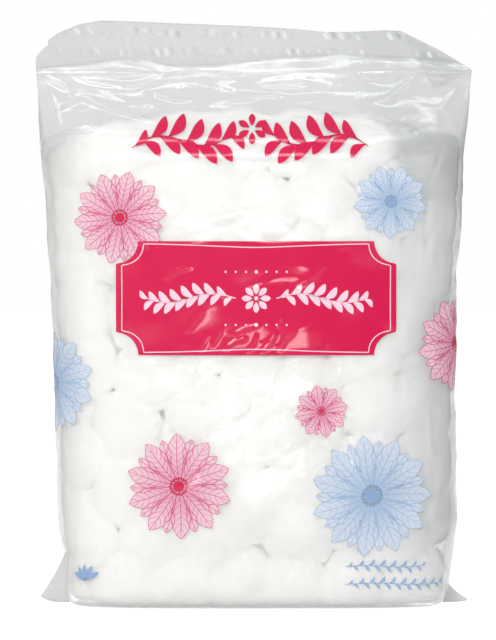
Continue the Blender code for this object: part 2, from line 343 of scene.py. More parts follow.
# The film's outline, seen from the front, in mm: heights and where its edges lie
outline = {
    "leftHeightMm": (0, 12, 25, 31, 45, 62, 103, 142, 163, 187, 208, 222, 239, 255, 266),
    "leftMm": (
        -94.5, -94.3, -94.5, -96.8, -98.4, -99, -99.7, -100.8,
        -102, -103.3, -104.5, -106, -107.2, -108.2, -109,
    ),
    "rightHeightMm": (0, 7, 11, 25, 42, 62, 102, 142, 152, 165, 177, 199, 222, 239, 255, 266),
    "rightMm": (
        96.5, 97.3, 97.7, 100, 102, 102, 100.8, 101,
        100.8, 101, 102.5, 103.8, 104.5, 106, 107.8, 109,
    ),
    "leftEndMm": (
        (266, 272, 275, 278, 280, 283, 286.5, 291, 293),
        (-109, -109.6, -109, -106.3, -104, -103.6, -99, -88.5, -77.5),
    ),
    "rightEndMm": ((266, 267.5, 271.5, 277.5, 284, 287.5), (109, 109.4, 103, 93.3, 81, 74)),
    "crownMm": ((-77, -56, -3, 20, 36, 52, 66, 74), (0, 0, -0.3, -0.9, -2.0, -1.2, 0, 0)),
    "sealLineMm": (
        (-109, -85, -68, -52, -40, -20, 0, 20, 39, 70, 95, 109),
        (268, 270.5, 272.5, 272, 269.5, 270, 272, 274, 275, 274, 272.5, 270),
    ),
}
film = {
    "rowCounts": (0, 24, 134, 156),  # rows up to each of the next line's heights
    "rowHeightsMm": (7, 58, 186, 237),
    "rowsAbove": 78,  # from there to the seal
    "rowsSeal": 42,
    "frontSpacing": 0.00088,  # between the columns
    "backSpacing": 0.0026,
    "weldHalf": 0.00022,  # half the thickness of the welded seal
    "latticeStep": 0.0005,
    "sideHold": (0.90, 0.995),  # share of the half width over which the relief dies out
    "seed": 5,
}


def edges(z):
    left = alongTable(z, outline["leftHeightMm"], outline["leftMm"])
    return left, alongTable(z, outline["rightHeightMm"], outline["rightMm"])


latticeX = np.arange(-0.114, 0.1141, film["latticeStep"])
latticeZ = np.arange(0, 0.2981, film["latticeStep"])
gridX, gridZ = np.meshgrid(latticeX, latticeZ)


def sampled(lattice, x, z):
    # bilinear reading of a lattice
    i = np.clip((x - latticeX[0]) / film["latticeStep"], 0, len(latticeX) - 1.001)
    j = np.clip((z - latticeZ[0]) / film["latticeStep"], 0, len(latticeZ) - 1.001)
    low, row = i.astype(int), j.astype(int)
    u, v = i - low, j - row
    return (
        lattice[row, low] * (1 - u) * (1 - v)
        + lattice[row, low + 1] * u * (1 - v)
        + lattice[row + 1, low] * (1 - u) * v
        + lattice[row + 1, low + 1] * u * v
    )


def shareAcross(x, z):
    # 0 in the middle of the pack and 1 at its edges
    left, right = edges(np.minimum(z, pack["sealFoot"]))
    return np.clip(np.abs(2 * x - left - right) / (right - left), 0, 1)


def sealLine(x):
    return np.interp(x / mm, *outline["sealLineMm"]) * mm


def leanBack(x, z):
    # how far the film leans back above the seal's foot: tan(lean) * soft * log(1 + exp((z - foot) / soft)),
    # with a foot that follows the seal's crooked line a little
    soft = 0.0040
    foot = pack["sealFoot"] + 0.35 * (sealLine(x) - 0.2695) + 0.0004 * np.sin(x * 210 + 1.0)
    return math.tan(pack["lean"]) * soft * np.log1p(np.exp((z - foot) / soft))


def sheetY(x, z, side):
    # the plain film: y = middle + side * halfDepth * (1 - share^n)^(1/n), leaning back in the seal
    _, halfDepth, middle, square = section(np.minimum(z, pack["sealFoot"]))
    crown = (1 - shareAcross(x, z) ** square) ** (1 / square)
    return middle + side * halfDepth * crown + leanBack(x, z)


def pushedOut(x, z, side):
    # bulge * sum of exp(-(distance / reach)^2) over the balls, each by how closely it presses the film
    across, back, up = centres.T
    toFilm = depthAt(across, up) - side * (back - section(up)[2])
    pressed = 1 - ease(toFilm, ball["pressed"] * ball["diameter"] / 2, ball["diameter"] / 2 + pack["bulge"])
    total = np.zeros(x.shape)
    for ballX, ballZ, weight in zip(across, up, pressed):
        if weight > 0:
            total += weight * np.exp(-((x - ballX) ** 2 + (z - ballZ) ** 2) / pack["bulgeReach"] ** 2)
    return pack["bulge"] * np.minimum(total, 1)


def standOff(side):
    # how far the nearest ball lies behind the plain film, along Y: side * (film - ball) - sqrt(R^2 - d^2),
    # a little more at the top, and smoothed
    plain = sheetY(gridX, gridZ, side)
    radius = 0.62 * ball["diameter"]
    nearest = np.full(gridX.shape, 0.03)
    for x, y, z in centres:
        window = np.ix_(np.abs(latticeZ - z) < radius, np.abs(latticeX - x) < radius)
        inside = radius**2 - (gridX[window] - x) ** 2 - (gridZ[window] - z) ** 2
        reach = side * (plain[window] - y) - np.sqrt(np.maximum(inside, 0))
        nearest[window] = np.minimum(nearest[window], np.where(inside > 0, reach, 0.03))
    nearest = np.maximum(nearest, 0) + 0.002 * ease(gridZ, 0.220, 0.246)
    return blurred(blurred(nearest, 7, 0), 7, 1)


def addFold(lattice, path, width, height, lean=0.0):
    # a ridge along a bent line: height / (1 + (d / width)^2)^1.5 at the distance d from the line,
    # fading to both ends, with one flank steeper by lean
    path = np.asarray(path, float) * mm
    width, height = width * mm, height * mm
    margin = 5 * width
    columns = (latticeX > path[:, 0].min() - margin) & (latticeX < path[:, 0].max() + margin)
    rows = (latticeZ > path[:, 1].min() - margin) & (latticeZ < path[:, 1].max() + margin)
    window = np.ix_(rows, columns)
    x, z = gridX[window], gridZ[window]
    steps = np.diff(path, axis=0)
    lengths = np.linalg.norm(steps, axis=1)
    done = np.concatenate([[0], np.cumsum(lengths)]) / lengths.sum()
    best = np.full(x.shape, 1.0)
    run = np.zeros(x.shape)
    hand = np.zeros(x.shape)
    for number, (step, length) in enumerate(zip(steps, lengths)):
        dx, dz = x - path[number, 0], z - path[number, 1]
        share = np.clip((dx * step[0] + dz * step[1]) / length**2, 0, 1)
        away = np.hypot(dx - share * step[0], dz - share * step[1])
        closer = away < best
        best = np.where(closer, away, best)
        run = np.where(closer, done[number] + share * (done[number + 1] - done[number]), run)
        hand = np.where(closer, np.sign(step[0] * dz - step[1] * dx), hand)
    spread = width * (1 + lean * hand)
    fade = ease(np.sin(np.pi * np.clip(run, 0, 1)), 0, 0.9)
    lattice[window] += height * fade / (1 + (best / spread) ** 2) ** 1.5


def addScatter(lattice, rng, patch):
    # short bent folds strewn over a patch, each with its own place, way, length and height
    left, right, low, high = patch["areaMm"]
    for _ in range(patch["count"]):
        x, z = rng.uniform(left, right), rng.uniform(low, high)
        way = math.radians(rng.uniform(*patch["angles"]))
        length = rng.uniform(*patch["lengthMm"]) / 2
        bend = rng.uniform(-0.25, 0.25) * length
        along = np.array([math.cos(way), math.sin(way)])
        across = np.array([-along[1], along[0]])
        shares = np.array([-1, -0.5, 0, 0.5, 1])[:, None]
        path = (x, z) + along * length * shares + across * bend * (1 - shares**2)
        height = rng.uniform(*patch["heightMm"]) * rng.choice([1, 1, -0.7])
        addFold(lattice, path, rng.uniform(*patch["widthMm"]), height, rng.uniform(-0.5, 0.5))


def rolling(rng, x, z, size):
    # a sum of sine waves in random ways, each about size long, mostly between -1 and 1
    count = 9
    total = np.zeros(x.shape)
    for _ in range(count):
        way, phase = rng.uniform(0, 2 * math.pi, 2)
        wave = 2 * math.pi / (size * rng.uniform(0.7, 1.6))
        total += np.sin((x * math.cos(way) + z * math.sin(way)) * wave + phase)
    return total / math.sqrt(count) / 1.5


# Folds of the front film: bent lines in mm, then width, height and lean
frontFolds = [
    (((-107, 265), (-99, 260.5), (-91, 256)), 1.7, 1.7, 0.4),
    (((-91, 256), (-71, 247.5), (-58, 244), (-43, 239)), 1.3, 1.0, 0.3),
    (((-107, 265), (-101, 254), (-98, 247), (-96, 236)), 1.5, 1.3, -0.4),
    (((-96, 268), (-87, 262.5), (-74, 260), (-61, 259), (-49, 261.5), (-39, 267)), 1.6, 1.4, 0.3),
    (((-55, 258), (-53, 253), (-50, 248)), 1.2, 0.9, 0.2),
    (((-53, 256.5), (-40, 252.5), (-26, 252)), 1.5, 1.0, 0.3),
    (((-27, 251), (-11, 252.5), (2, 253.5)), 2.4, 1.2, 0.2),
    (((-7, 260), (8, 257.8), (21, 257.5), (38, 260.5)), 1.8, 1.1, 0.3),
    (((-12, 261), (-2, 263), (10, 264), (24, 264.6)), 1.8, 0.8, 0.2),
    (((20, 256), (26, 264), (33, 262.5), (53, 259)), 1.5, 1.2, 0.3),
    (((-8, 252), (6, 254.5), (19, 254)), 1.5, 0.8, 0.3),
    (((82, 264.5), (73, 258.5), (63, 250.5)), 2.1, 1.8, 0.3),
    (((104, 261), (98, 254), (91, 246)), 1.7, 1.0, 0.3),
    (((71, 242), (76, 245), (82, 246.5)), 1.5, 0.7, 0.0),
    (((-46, 185), (-30, 190), (-14, 194), (3, 200)), 3.2, 0.9, 0.3),
    (((22, 76), (34, 89), (49, 101)), 1.4, 0.5, 0.2),
    (((33, 74), (41, 88), (46, 103)), 1.2, 0.4, -0.2),
    (((38, 64), (46, 68), (54, 71)), 1.1, 0.4, 0.0),
    (((-104, 236), (-99, 200), (-96, 160)), 2.2, 1.0, 0.3),
    (((-101, 150), (-97, 110), (-96, 60)), 2.2, 1.0, 0.3),
    (((104, 238), (100, 200), (97, 165)), 2.2, 1.0, -0.3),
    (((100, 150), (97, 110), (98, 55)), 2.2, 1.0, -0.3),
    (((-95, 24), (-88, 16), (-80, 4)), 1.6, 1.1, 0.3),
    (((-95, 24), (-92, 12), (-90, 3)), 1.5, 0.9, 0.3),
    (((98, 10), (90, 9), (78, 3)), 1.5, 0.9, 0.3),
]
# A broad smooth fold under the seal
bandFolds = [
    (((-24, 256), (-8, 262), (8, 265.2), (22, 266.4), (38, 266.0), (56, 262.5)), 5.0, 1.75, 0.0),
]
# Small sharp folds in the stiff film under the big ink field
plaqueFolds = [
    (((-33, 137), (-29, 143), (-24, 150)), 0.9, 0.65, 0.0),
    (((-21, 130), (-17, 136), (-15, 142)), 0.8, 0.45, 0.2),
    (((-15, 129), (-9, 133.5), (-2, 135)), 0.8, 0.6, 0.2),
    (((-12, 136), (-4, 140), (5, 142)), 0.8, 0.5, 0.0),
    (((-4, 127), (0, 132), (2, 138)), 0.7, 0.4, 0.0),
    (((3, 127), (8, 132), (12, 139)), 0.8, 0.6, 0.2),
    (((13, 128), (15, 134), (22, 140)), 0.7, 0.45, 0.0),
    (((-27, 128), (-24, 133), (-22, 139)), 0.7, 0.4, 0.0),
    (((-46, 163), (-38, 168), (-28, 171)), 1.3, 0.35, 0.0),
    (((20, 160), (30, 166), (36, 174)), 1.3, 0.3, 0.0),
]
frontScatter = [
    {"areaMm": (-36, 46, 68, 132), "count": 64, "angles": (10, 80), "lengthMm": (6, 22),
     "widthMm": (0.7, 1.4), "heightMm": (0.12, 0.36)},
    {"areaMm": (-60, 66, 122, 180), "count": 34, "angles": (-20, 80), "lengthMm": (5, 16),
     "widthMm": (0.8, 1.4), "heightMm": (0.06, 0.18)},
    {"areaMm": (-100, 100, 238, 268), "count": 48, "angles": (-24, 24), "lengthMm": (12, 46),
     "widthMm": (1.0, 2.4), "heightMm": (0.15, 0.55)},
    {"areaMm": (-105, -88, 28, 245), "count": 26, "angles": (65, 115), "lengthMm": (14, 50),
     "widthMm": (1.0, 2.2), "heightMm": (0.2, 0.6)},
    {"areaMm": (88, 105, 20, 245), "count": 26, "angles": (65, 115), "lengthMm": (14, 50),
     "widthMm": (1.0, 2.2), "heightMm": (0.2, 0.6)},
    {"areaMm": (-92, 96, 4, 24), "count": 30, "angles": (55, 125), "lengthMm": (6, 20),
     "widthMm": (0.9, 1.8), "heightMm": (0.15, 0.5)},
    {"areaMm": (-88, 90, 28, 236), "count": 46, "angles": (-60, 120), "lengthMm": (8, 34),
     "widthMm": (1.0, 2.0), "heightMm": (0.06, 0.2)},
]
backScatter = [
    {"areaMm": (-100, 100, 225, 268), "count": 60, "angles": (-35, 35), "lengthMm": (12, 50),
     "widthMm": (2.2, 3.6), "heightMm": (0.3, 0.9)},
    {"areaMm": (-104, -86, 28, 245), "count": 24, "angles": (65, 115), "lengthMm": (14, 50),
     "widthMm": (1.4, 2.4), "heightMm": (0.2, 0.7)},
    {"areaMm": (86, 104, 20, 245), "count": 24, "angles": (65, 115), "lengthMm": (14, 50),
     "widthMm": (1.4, 2.4), "heightMm": (0.2, 0.7)},
    {"areaMm": (-92, 96, 4, 26), "count": 30, "angles": (55, 125), "lengthMm": (6, 22),
     "widthMm": (1.4, 2.2), "heightMm": (0.2, 0.6)},
    {"areaMm": (-88, 90, 28, 236), "count": 60, "angles": (-60, 120), "lengthMm": (10, 40),
     "widthMm": (2.2, 3.4), "heightMm": (0.1, 0.4)},
]
# The seal's crimp marks: two rows of short upright ridges
crimps = {
    "rowsMm": (286.0, 276.0),
    "rowTallMm": (2.4, 2.8),
    "pitchMm": (7.2, 5.4),
    "height": 0.00018,
    "slantMm": -1.9,  # how much the rows drop from the middle to the right end
}


def crimpMarks(rng):
    # per row: a band exp(-((z - row) / tall)^4) times a comb of slanted waves of uneven pitch and strength,
    # with blotches over it
    marks = np.zeros(gridX.shape)
    slope = gridX / 0.109 * crimps["slantMm"] * mm
    for rowMm, tallMm, pitchMm in zip(crimps["rowsMm"], crimps["rowTallMm"], crimps["pitchMm"]):
        away = gridZ - rowMm * mm - slope
        band = np.exp(-((away / (tallMm * mm)) ** 4))
        wobble = rolling(rng, gridX, gridZ * 0, 0.05) * 2.6 + rolling(rng, gridX, gridZ * 0.5, 0.011) * 0.8
        comb = np.sin((gridX + away * 0.35) / mm * 2 * math.pi / pitchMm + wobble)
        strength = np.clip(0.42 + 0.75 * rolling(rng, gridX, gridZ, 0.017), 0.05, 1)
        marks += band * strength * (ease(comb, 0.2, 1) - 0.8 * ease(-comb, 0.3, 1))
    marks += 0.16 * rolling(rng, gridX * 0.6, gridZ, 0.006) + 0.12 * rolling(rng, gridX, gridZ * 0.6, 0.0028)
    return marks * ease(0.100 - np.abs(gridX + 0.004), 0, 0.008)


# Where small folds are weaker: on the big ink field, which stiffens the film, and round the broad fold
calmPatches = [
    {"x": 0.001, "halfWide": 0.076, "softX": 0.008,
     "z": 0.1545, "halfTall": 0.034, "softZ": 0.008, "share": 0.6},
    {"x": 0.018, "halfWide": 0.052, "softX": 0.024,
     "z": 0.2675, "halfTall": 0.012, "softZ": 0.007, "share": 0.85},
]


def calmed():
    # what is left of the small folds: 1 minus each patch's share, inside its soft edges
    left = 1
    for patch in calmPatches:
        inX = ease(patch["halfWide"] - np.abs(gridX - patch["x"]), 0, patch["softX"])
        inZ = ease(patch["halfTall"] - np.abs(gridZ - patch["z"]), 0, patch["softZ"])
        left = left - patch["share"] * (inX * inZ)
    return left


def reliefs():
    # outward relief of the front and of the back film, how far each stands off the cotton,
    # and the crimp marks
    found = []
    for side, folds, scatters in ((-1, frontFolds, frontScatter), (1, [], backScatter)):
        rng = np.random.default_rng(film["seed"] + side)
        gap = standOff(side)
        empty = ease(gridZ, ball["fillHeight"] - 0.012, ball["fillHeight"] + 0.012)
        relief = pushedOut(gridX, gridZ, side) * 0.75
        relief += rolling(rng, gridX, gridZ, 0.06) * 0.0003 * (1 - empty)
        relief += rolling(rng, gridX, gridZ, 0.045) * 0.0009 * empty
        for path, width, height, lean in folds:
            addFold(relief, path, width, height, lean)
        for patch in scatters:
            addScatter(relief, rng, patch)
        if side < 0:
            relief *= calmed()
            for path, width, height, lean in bandFolds + plaqueFolds:
                addFold(relief, path, width, height, lean)
        found.append((blurred(blurred(relief, 0.8, 0), 0.8, 1), gap))
    (front, frontGap), (back, backGap) = found
    # the seal: both films move together, with the crimp ridges in two rows
    rng = np.random.default_rng(film["seed"] + 20)
    welded = ease(gridZ - sealLine(gridX), -0.003, 0.003)
    marks = crimpMarks(rng)
    waves = rolling(rng, gridX, gridZ * 0.3, 0.07) * 0.0012 + rolling(rng, gridX, gridZ, 0.018) * 0.0002
    seal = waves + marks * crimps["height"]
    return front * (1 - welded) + seal * welded, frontGap, back * (1 - welded) - seal * welded, backGap, marks


frontRelief, frontGap, backRelief, backGap, sealMarks = reliefs()
print("film relief of the front:", frontRelief.min(), frontRelief.max())


def reliefHold(x, z):
    # no relief on the sides, where the film turns, nor on the floor
    inSeal = ease(z, pack["sealFoot"] - 0.010, pack["sealFoot"] + 0.004)
    hold = 1 - ease(shareAcross(x, z), *film["sideHold"])
    return (hold * (1 - inSeal) + inSeal) * ease(z, 0.001, 0.012)


def filmRelief(front, x, z):
    # the film's relief along Y, which is outward both at the front and at the back
    return np.where(front, -sampled(frontRelief, x, z), sampled(backRelief, x, z))


def ovalSize(angle, square):
    # m = (|cos t|^n + |sin t|^n)^(1/n): x = a cos t / m and y = b sin t / m run along an oval
    return (np.abs(np.cos(angle)) ** square + np.abs(np.sin(angle)) ** square) ** (1 / square)


def baseInset(z):
    # how far the rounded lower edge lies inside: r * (1 - sqrt(1 - (1 - z / r)^2)), with r its radius
    rise = np.clip(z / pack["baseRound"], 0, 1)
    return pack["baseRound"] * (1 - np.sqrt(1 - (1 - rise) ** 2))


def sealY(x, z):
    # the middle of the seal, all in mm
    return (pack["setback"] + leanBack(x * mm, z * mm)) / mm


def filmColumns():
    # angles round the oval, so that the columns lie closer on the front than on the back
    fine = np.linspace(0, 2 * math.pi, 4001)
    halfWidth, halfDepth = 0.103, 0.028
    speed = np.hypot(halfWidth * np.sin(fine), halfDepth * np.cos(fine))
    toBack = ease(np.sin(fine), -0.1, 0.5)
    spacing = film["frontSpacing"] + (film["backSpacing"] - film["frontSpacing"]) * toBack
    travelled = np.concatenate([[0], np.cumsum((speed / spacing)[:-1] * np.diff(fine))])
    count = int(travelled[-1])
    return np.interp(np.arange(count) * travelled[-1] / count, travelled, fine)


def bodyRings(columns):
    # Ring points of the body, drawn in at the base: x = middle + a cos t / m and y = b sin t / m,
    # with m as in ovalSize
    shares = np.array([0.12, 0.3, 0.5, 0.7, 0.85, 0.94])
    turned = np.linspace(0, 1, 8) ** 1.6
    rows = np.arange(1, film["rowCounts"][-1] + 1)
    heights = np.concatenate([
        np.zeros(len(shares)),
        turned * pack["baseRound"],
        np.interp(rows, film["rowCounts"], film["rowHeightsMm"]) * mm,
        np.linspace(film["rowHeightsMm"][-1] * mm, pack["sealFoot"], film["rowsAbove"])[1:],
    ])
    shares = np.concatenate([shares, np.ones(len(heights) - len(shares))])
    left, right = edges(heights)
    _, halfDepth, middle, square = section(heights)
    inset = baseInset(heights)
    a = ((right - left) / 2 - inset) * shares
    b = (halfDepth - inset) * shares
    lifted = heights + 0.0008 * (1 - shares**2)
    cosine, sine = np.cos(columns)[None], np.sin(columns)[None]
    m = ovalSize(columns[None], square[:, None])
    x = ((left + right) / 2)[:, None] + a[:, None] * cosine / m
    z = np.broadcast_to(lifted[:, None], x.shape)
    y = middle[:, None] + leanBack(x, z) + b[:, None] * sine / m
    return np.stack([x, y, z], axis=-1)


def sealRings(columns):
    # Ring points of the seal: straight from its left end to its right end at each climb, with the
    # top edge's crown. Its thickness falls from the body's to the weld's up to the seal line.
    climb = np.linspace(0, 1, film["rowsSeal"] + 1)[1:, None]
    foot = pack["sealFoot"] / mm
    leftZ = foot + climb * (outline["leftEndMm"][0][-1] - foot)
    rightZ = foot + climb * (outline["rightEndMm"][0][-1] - foot)
    leftX = np.interp(leftZ, *outline["leftEndMm"])
    rightX = np.interp(rightZ, *outline["rightEndMm"])
    share = (1 + np.cos(columns)[None]) / 2
    x = leftX + (rightX - leftX) * share
    z = leftZ + (rightZ - leftZ) * share + climb * np.interp(x, *outline["crownMm"])
    y = sealY(x, z)
    closing = ease(z, foot, sealLine(x * mm) / mm)
    half = film["weldHalf"] / mm * closing + 2.5 * pack["film"] / mm * (1 - closing)
    return np.stack([x, y + half * np.clip(3 * np.sin(columns)[None], -1, 1), z], axis=-1) * mm


def stitched(front, back, points):
    # triangles between two lines of points that run the same way, each step on the line that lags
    faces = []
    i = j = 0
    while i < len(front) - 1 or j < len(back) - 1:
        onFront = j >= len(back) - 1 or (
            i < len(front) - 1 and points[front[i + 1], 0] <= points[back[j + 1], 0]
        )
        if onFront:
            faces.append((int(front[i]), int(front[i + 1]), int(back[j])))
            i += 1
        else:
            faces.append((int(front[i]), int(back[j + 1]), int(back[j])))
            j += 1
    return faces


def sidePleats(angle, x, z):
    # shallow upright pleats where the film turns the corner: how far each point moves along X
    rng = np.random.default_rng(film["seed"] + 9)
    pleat = rolling(rng, x * 0.2, z, 0.03) * 0.0005 + rolling(rng, x * 0.2, z, 0.011) * 0.00018
    turning = 1 - ease(np.abs(np.sin(angle)), 0.05, 0.45)
    turning = turning * ease(z, 0.004, 0.02) * (1 - ease(z, 0.255, 0.268))
    return np.sign(np.cos(angle)) * pleat * turning


def onBody(angle, z):
    # a point of the film below the seal: the oval's, as in bodyRings, with its relief and pleats
    left, right = edges(z)
    _, halfDepth, middle, square = section(z)
    cosine, sine, m = np.cos(angle), np.sin(angle), ovalSize(angle, square)
    x = (left + right) / 2 + (right - left) / 2 * cosine / m
    relief = filmRelief(sine < 0, x, z)
    y = middle + leanBack(x, z) + halfDepth * sine / m + relief * reliefHold(x, z)
    return np.stack([x + sidePleats(angle, x, z), y, z], axis=-1)


# Painted shade on the film's sides, away from the lamps, over the haze of the small creases there: between
# two heights or two distances
shadedSides = {
    "emptyZ": (0.235, 0.255),
    "emptyShift": 0.022,  # how much further in they reach above the cotton
    "highZ": (0.190, 0.236),
    "highGain": 1.6,
    "rightX": (0.060, 0.084),
    "leftX": (0.080, 0.098),
    "leftShare": 0.35,
    "leftGain": 0.6,
    "footZ": (0, 0.045),
}


def buildFilm(material):
    columns = filmColumns()
    points = np.concatenate([bodyRings(columns), sealRings(columns)])
    rows, around = points.shape[:2]
    x, y, z = np.moveaxis(points, -1, 0)
    front = np.sin(columns)[None] < 0
    relief = filmRelief(front, x, z)
    gap = np.where(front, sampled(frontGap, x, z), sampled(backGap, x, z))
    welded = ease(z - sealLine(x), -0.001, 0.001)
    marks = sampled(sealMarks, x, z) * welded
    # a narrow band along the seal line, where the film turns back: later painted darker, as painted shade of
    # that fold
    line = np.exp(-(((z - sealLine(x)) / 0.0009) ** 2)) * ease(z, 0.255, 0.262)
    points[..., 1] = y + relief * reliefHold(x, z)
    points[..., 0] = x + sidePleats(columns[None], x, z)

    flat = points.reshape(-1, 3)
    pole = flat[:around].mean(axis=0) + (0, 0, 0.0002)
    here = np.arange(around)
    fan = np.stack([(here + 1) % around, here, np.full(around, len(flat))], axis=1)
    last = (rows - 1) * around
    rimAhead = last + np.where(np.sin(columns) < 0)[0]
    rimBehind = last + np.where(np.sin(columns) >= 0)[0][::-1]
    quads = gridFaces(rows, around, closed=True).tolist()
    faces = [*quads, *fan.tolist(), *stitched(rimAhead, rimBehind, flat)]
    mesh = bpy.data.meshes.new("pack_film")
    mesh.from_pydata(np.vstack([flat, pole]).tolist(), [], faces)
    # painted shade on the sides: full on the right, weaker on the left, more higher up
    empty = ease(z, *shadedSides["emptyZ"])
    high = 1 + shadedSides["highGain"] * ease(z, *shadedSides["highZ"])
    sideShade = ease(x + shadedSides["emptyShift"] * empty, *shadedSides["rightX"]) * high
    sideShade = sideShade + shadedSides["leftShare"] * ease(-x, *shadedSides["leftX"]) * (high + shadedSides["leftGain"])
    sideShade = sideShade * ease(z, *shadedSides["footZ"])
    layers = {
        "nearCotton": ease(gap, 0.0004, 0.006),
        "offCotton": ease(gap, 0.003, 0.016),
        "sideShade": sideShade * np.broadcast_to(front, x.shape),
        "welded": welded,
        "crimp": marks,
        "sealLine": line,
    }
    withPole = {key: np.append(values, 0) for key, values in layers.items()}
    piece = pieceOf("pack_film", mesh, material, withPole)
    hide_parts("film_bag")
    print("film:", len(mesh.polygons), "faces,", around, "round")


hazes = {
    "onCotton": 0.30,  # share of the film that looks milky where it lies on the cotton
    "nearCotton": 0.32,  # added to it over the hollows between balls
    "offCotton": -0.36,  # and where there is no cotton behind
    "sideShade": 0.10,  # and at the sides, as painted shade
    "weld": 0.13,  # and in the seal
    "mirror": 1.05,  # how much stronger than plain Fresnel the gloss is
}


filmTones = {
    "onCotton": (0.95, 0.95, 0.94, 1),
    # grey where no cotton is behind: the film's own dimming and painted shade of the pack's empty inside
    "offCotton": (0.47, 0.48, 0.475, 1),
    # grey of the painted shade on the sides
    "sideShade": (0.48, 0.49, 0.50, 1),
    # painted highlight on the crimp ridges, and painted shade in their hollows
    "crimpRidgeHighlight": (0.74, 0.75, 0.76, 1),
    "crimpHollowShade": (0.34, 0.35, 0.36, 1),
    # painted shade along the fold at the seal line
    "sealLine": (0.40, 0.41, 0.42, 1),
    "foldDark": (0.58, 0.59, 0.59, 1),
    "foldPale": (0.70, 0.71, 0.71, 1),
    "clear": (0.985, 0.988, 0.985, 1),
    "gloss": (0.97, 0.98, 0.99, 1),
}


def filmNormal(p, fineStrength, crinkleStrength):
    # fine unevenness over longer, upright crinkles
    fine = p.noise(420, 3, 0.55, 0.6)
    crinkle = p.noise(90, 4, 0.6, 1.2, place=p.stretched((1, 1, 0.55)))
    return p.bump(fine, fineStrength, 0.0004, under=p.bump(crinkle, crinkleStrength, 0.0010))


def filmPaint(name, foldHaze=None):
    # clear film with a sharp gloss and a milky share. On the pack's own film that share follows the
    # mesh's attributes, and on a folded sheet it is even, and differs from onCotton by foldHaze.
    p = newPaint(name)
    normal = filmNormal(p, 0.22, 0.3)
    cloud = p.noise(38, 3, 0.6)
    if foldHaze is None:
        near, off, sideShade = (p.attribute(key) for key in ("nearCotton", "offCotton", "sideShade"))
        worn, crimp, line = (p.attribute(key) for key in ("welded", "crimp", "sealLine"))
        share = hazes["onCotton"] + near * hazes["nearCotton"] + off * hazes["offCotton"]
        share = share + sideShade * hazes["sideShade"] + worn * hazes["weld"]
        # milkier on the crimp marks and the seal line, as part of their painted highlight and shade
        share = share * (0.8 + cloud * 0.4) + crimp.maths("ABSOLUTE", crimp) * 0.15 + line * 0.02
        # greyer where no cotton is behind: partly painted shade
        milky = p.mixed(off, filmTones["onCotton"], filmTones["offCotton"])
        # greyer at the sides: painted shade
        milky = p.mixed((sideShade * 0.7).clipped(), milky, filmTones["sideShade"])
        # crimp ridges lighter and their hollows darker: painted highlight and shade
        milky = p.mixed(crimp.eased(0.1, 0.9), milky, filmTones["crimpRidgeHighlight"])
        milky = p.mixed((0 - crimp).eased(0.1, 0.8), milky, filmTones["crimpHollowShade"])
        # darker along the seal line: painted shade of the fold there
        milky = p.mixed(line.clipped(), milky, filmTones["sealLine"])
    else:
        worn = 0.5
        share = (hazes["onCotton"] + foldHaze) * (0.85 + cloud * 0.3)
        milky = p.mixed(cloud, filmTones["foldDark"], filmTones["foldPale"])
    clear = p.add("BsdfTransparent", None, {"Color": filmTones["clear"]})
    haze = p.add("BsdfPrincipled", None, {
        "Base Color": milky,
        "Roughness": 0.5,
        "Specular IOR Level": 0.0,
        "Normal": normal,
    })
    gloss = p.add("BsdfPrincipled", None, {
        "Base Color": filmTones["gloss"],
        "Metallic": 1.0,
        "Roughness": 0.11 + 0.20 * worn,
        "Normal": normal,
    })
    mirror = p.add("Fresnel", None, {"IOR": 1.5, "Normal": normal}) * (hazes["mirror"] * (1 - 0.6 * worn))
    body = p.add("MixShader", None, {0: share.clipped(), 1: clear, 2: haze})
    return p.finished(p.add("MixShader", None, {0: mirror.maths("MINIMUM", mirror, 0.5), 1: body, 2: gloss}))


def cottonPaint():
    # white cotton wool: matt and soft, with a faint fibrous unevenness
    p = newPaint("cotton_wool")
    broad = p.noise(60, 3, 0.6)
    wisps = p.noise(260, 4, 0.65, 2.2)
    fibres = p.noise(900, 3, 0.7, 1.5)
    colour = p.mixed(broad.eased(0.35, 0.7), (0.945, 0.94, 0.925, 1), (0.965, 0.963, 0.957, 1))
    normal = p.bump(fibres, 0.4, 0.0005, under=p.bump(wisps, 0.5, 0.0014))
    shader = p.add("BsdfPrincipled", None, {
        "Base Color": colour,
        "Roughness": 1.0,
        "Specular IOR Level": 0.0,
        "Normal": normal,
    })
    return p.finished(shader)


def unitBall():
    # the points and faces of a fine sphere of radius 1
    shape = bmesh.new()
    bmesh.ops.create_icosphere(shape, subdivisions=ball["subdivisions"], radius=1)
    points = np.array([v.co for v in shape.verts])
    faces = np.array([[v.index for v in f.verts] for f in shape.faces])
    shape.free()
    return points / np.linalg.norm(points, axis=1)[:, None], faces


def turnedBy(rng, points):
    # the points after a random turn about a random axis
    axis = rng.normal(size=3)
    axis /= np.linalg.norm(axis)
    angle = rng.uniform(0, 2 * math.pi)
    cosine, sine = math.cos(angle), math.sin(angle)
    along = np.outer(points @ axis, axis)
    return points * cosine + np.cross(axis, points) * sine + along * (1 - cosine)


def reachToFilm(centre, ways):
    # how far each ray from a centre goes before it comes within the film gap, found by halving
    low, high = np.zeros(len(ways)), np.full(len(ways), ball["diameter"])
    clear = pack["film"] + ball["filmGap"]
    for _ in range(14):
        half = (low + high) / 2
        x, y, z = (centre + ways * half[:, None]).T
        _, halfDepth, middle, square = section(np.clip(z, 0, pack["sealFoot"]))
        left, right = edges(z)
        inset = clear + baseInset(z)
        raised = np.where(y < middle, sampled(frontRelief, x, z), sampled(backRelief, x, z))
        across = np.abs(2 * x - left - right) / np.maximum(right - left - 2 * inset - 0.0016, 0.001)
        deep = np.abs(y - middle) / np.maximum(halfDepth - inset + np.minimum(raised, raised * 0.6), 0.001)
        inside = (across**square + deep**square < 1) & (z > clear + 0.0009)
        low, high = np.where(inside, half, low), np.where(inside, high, half)
    return low


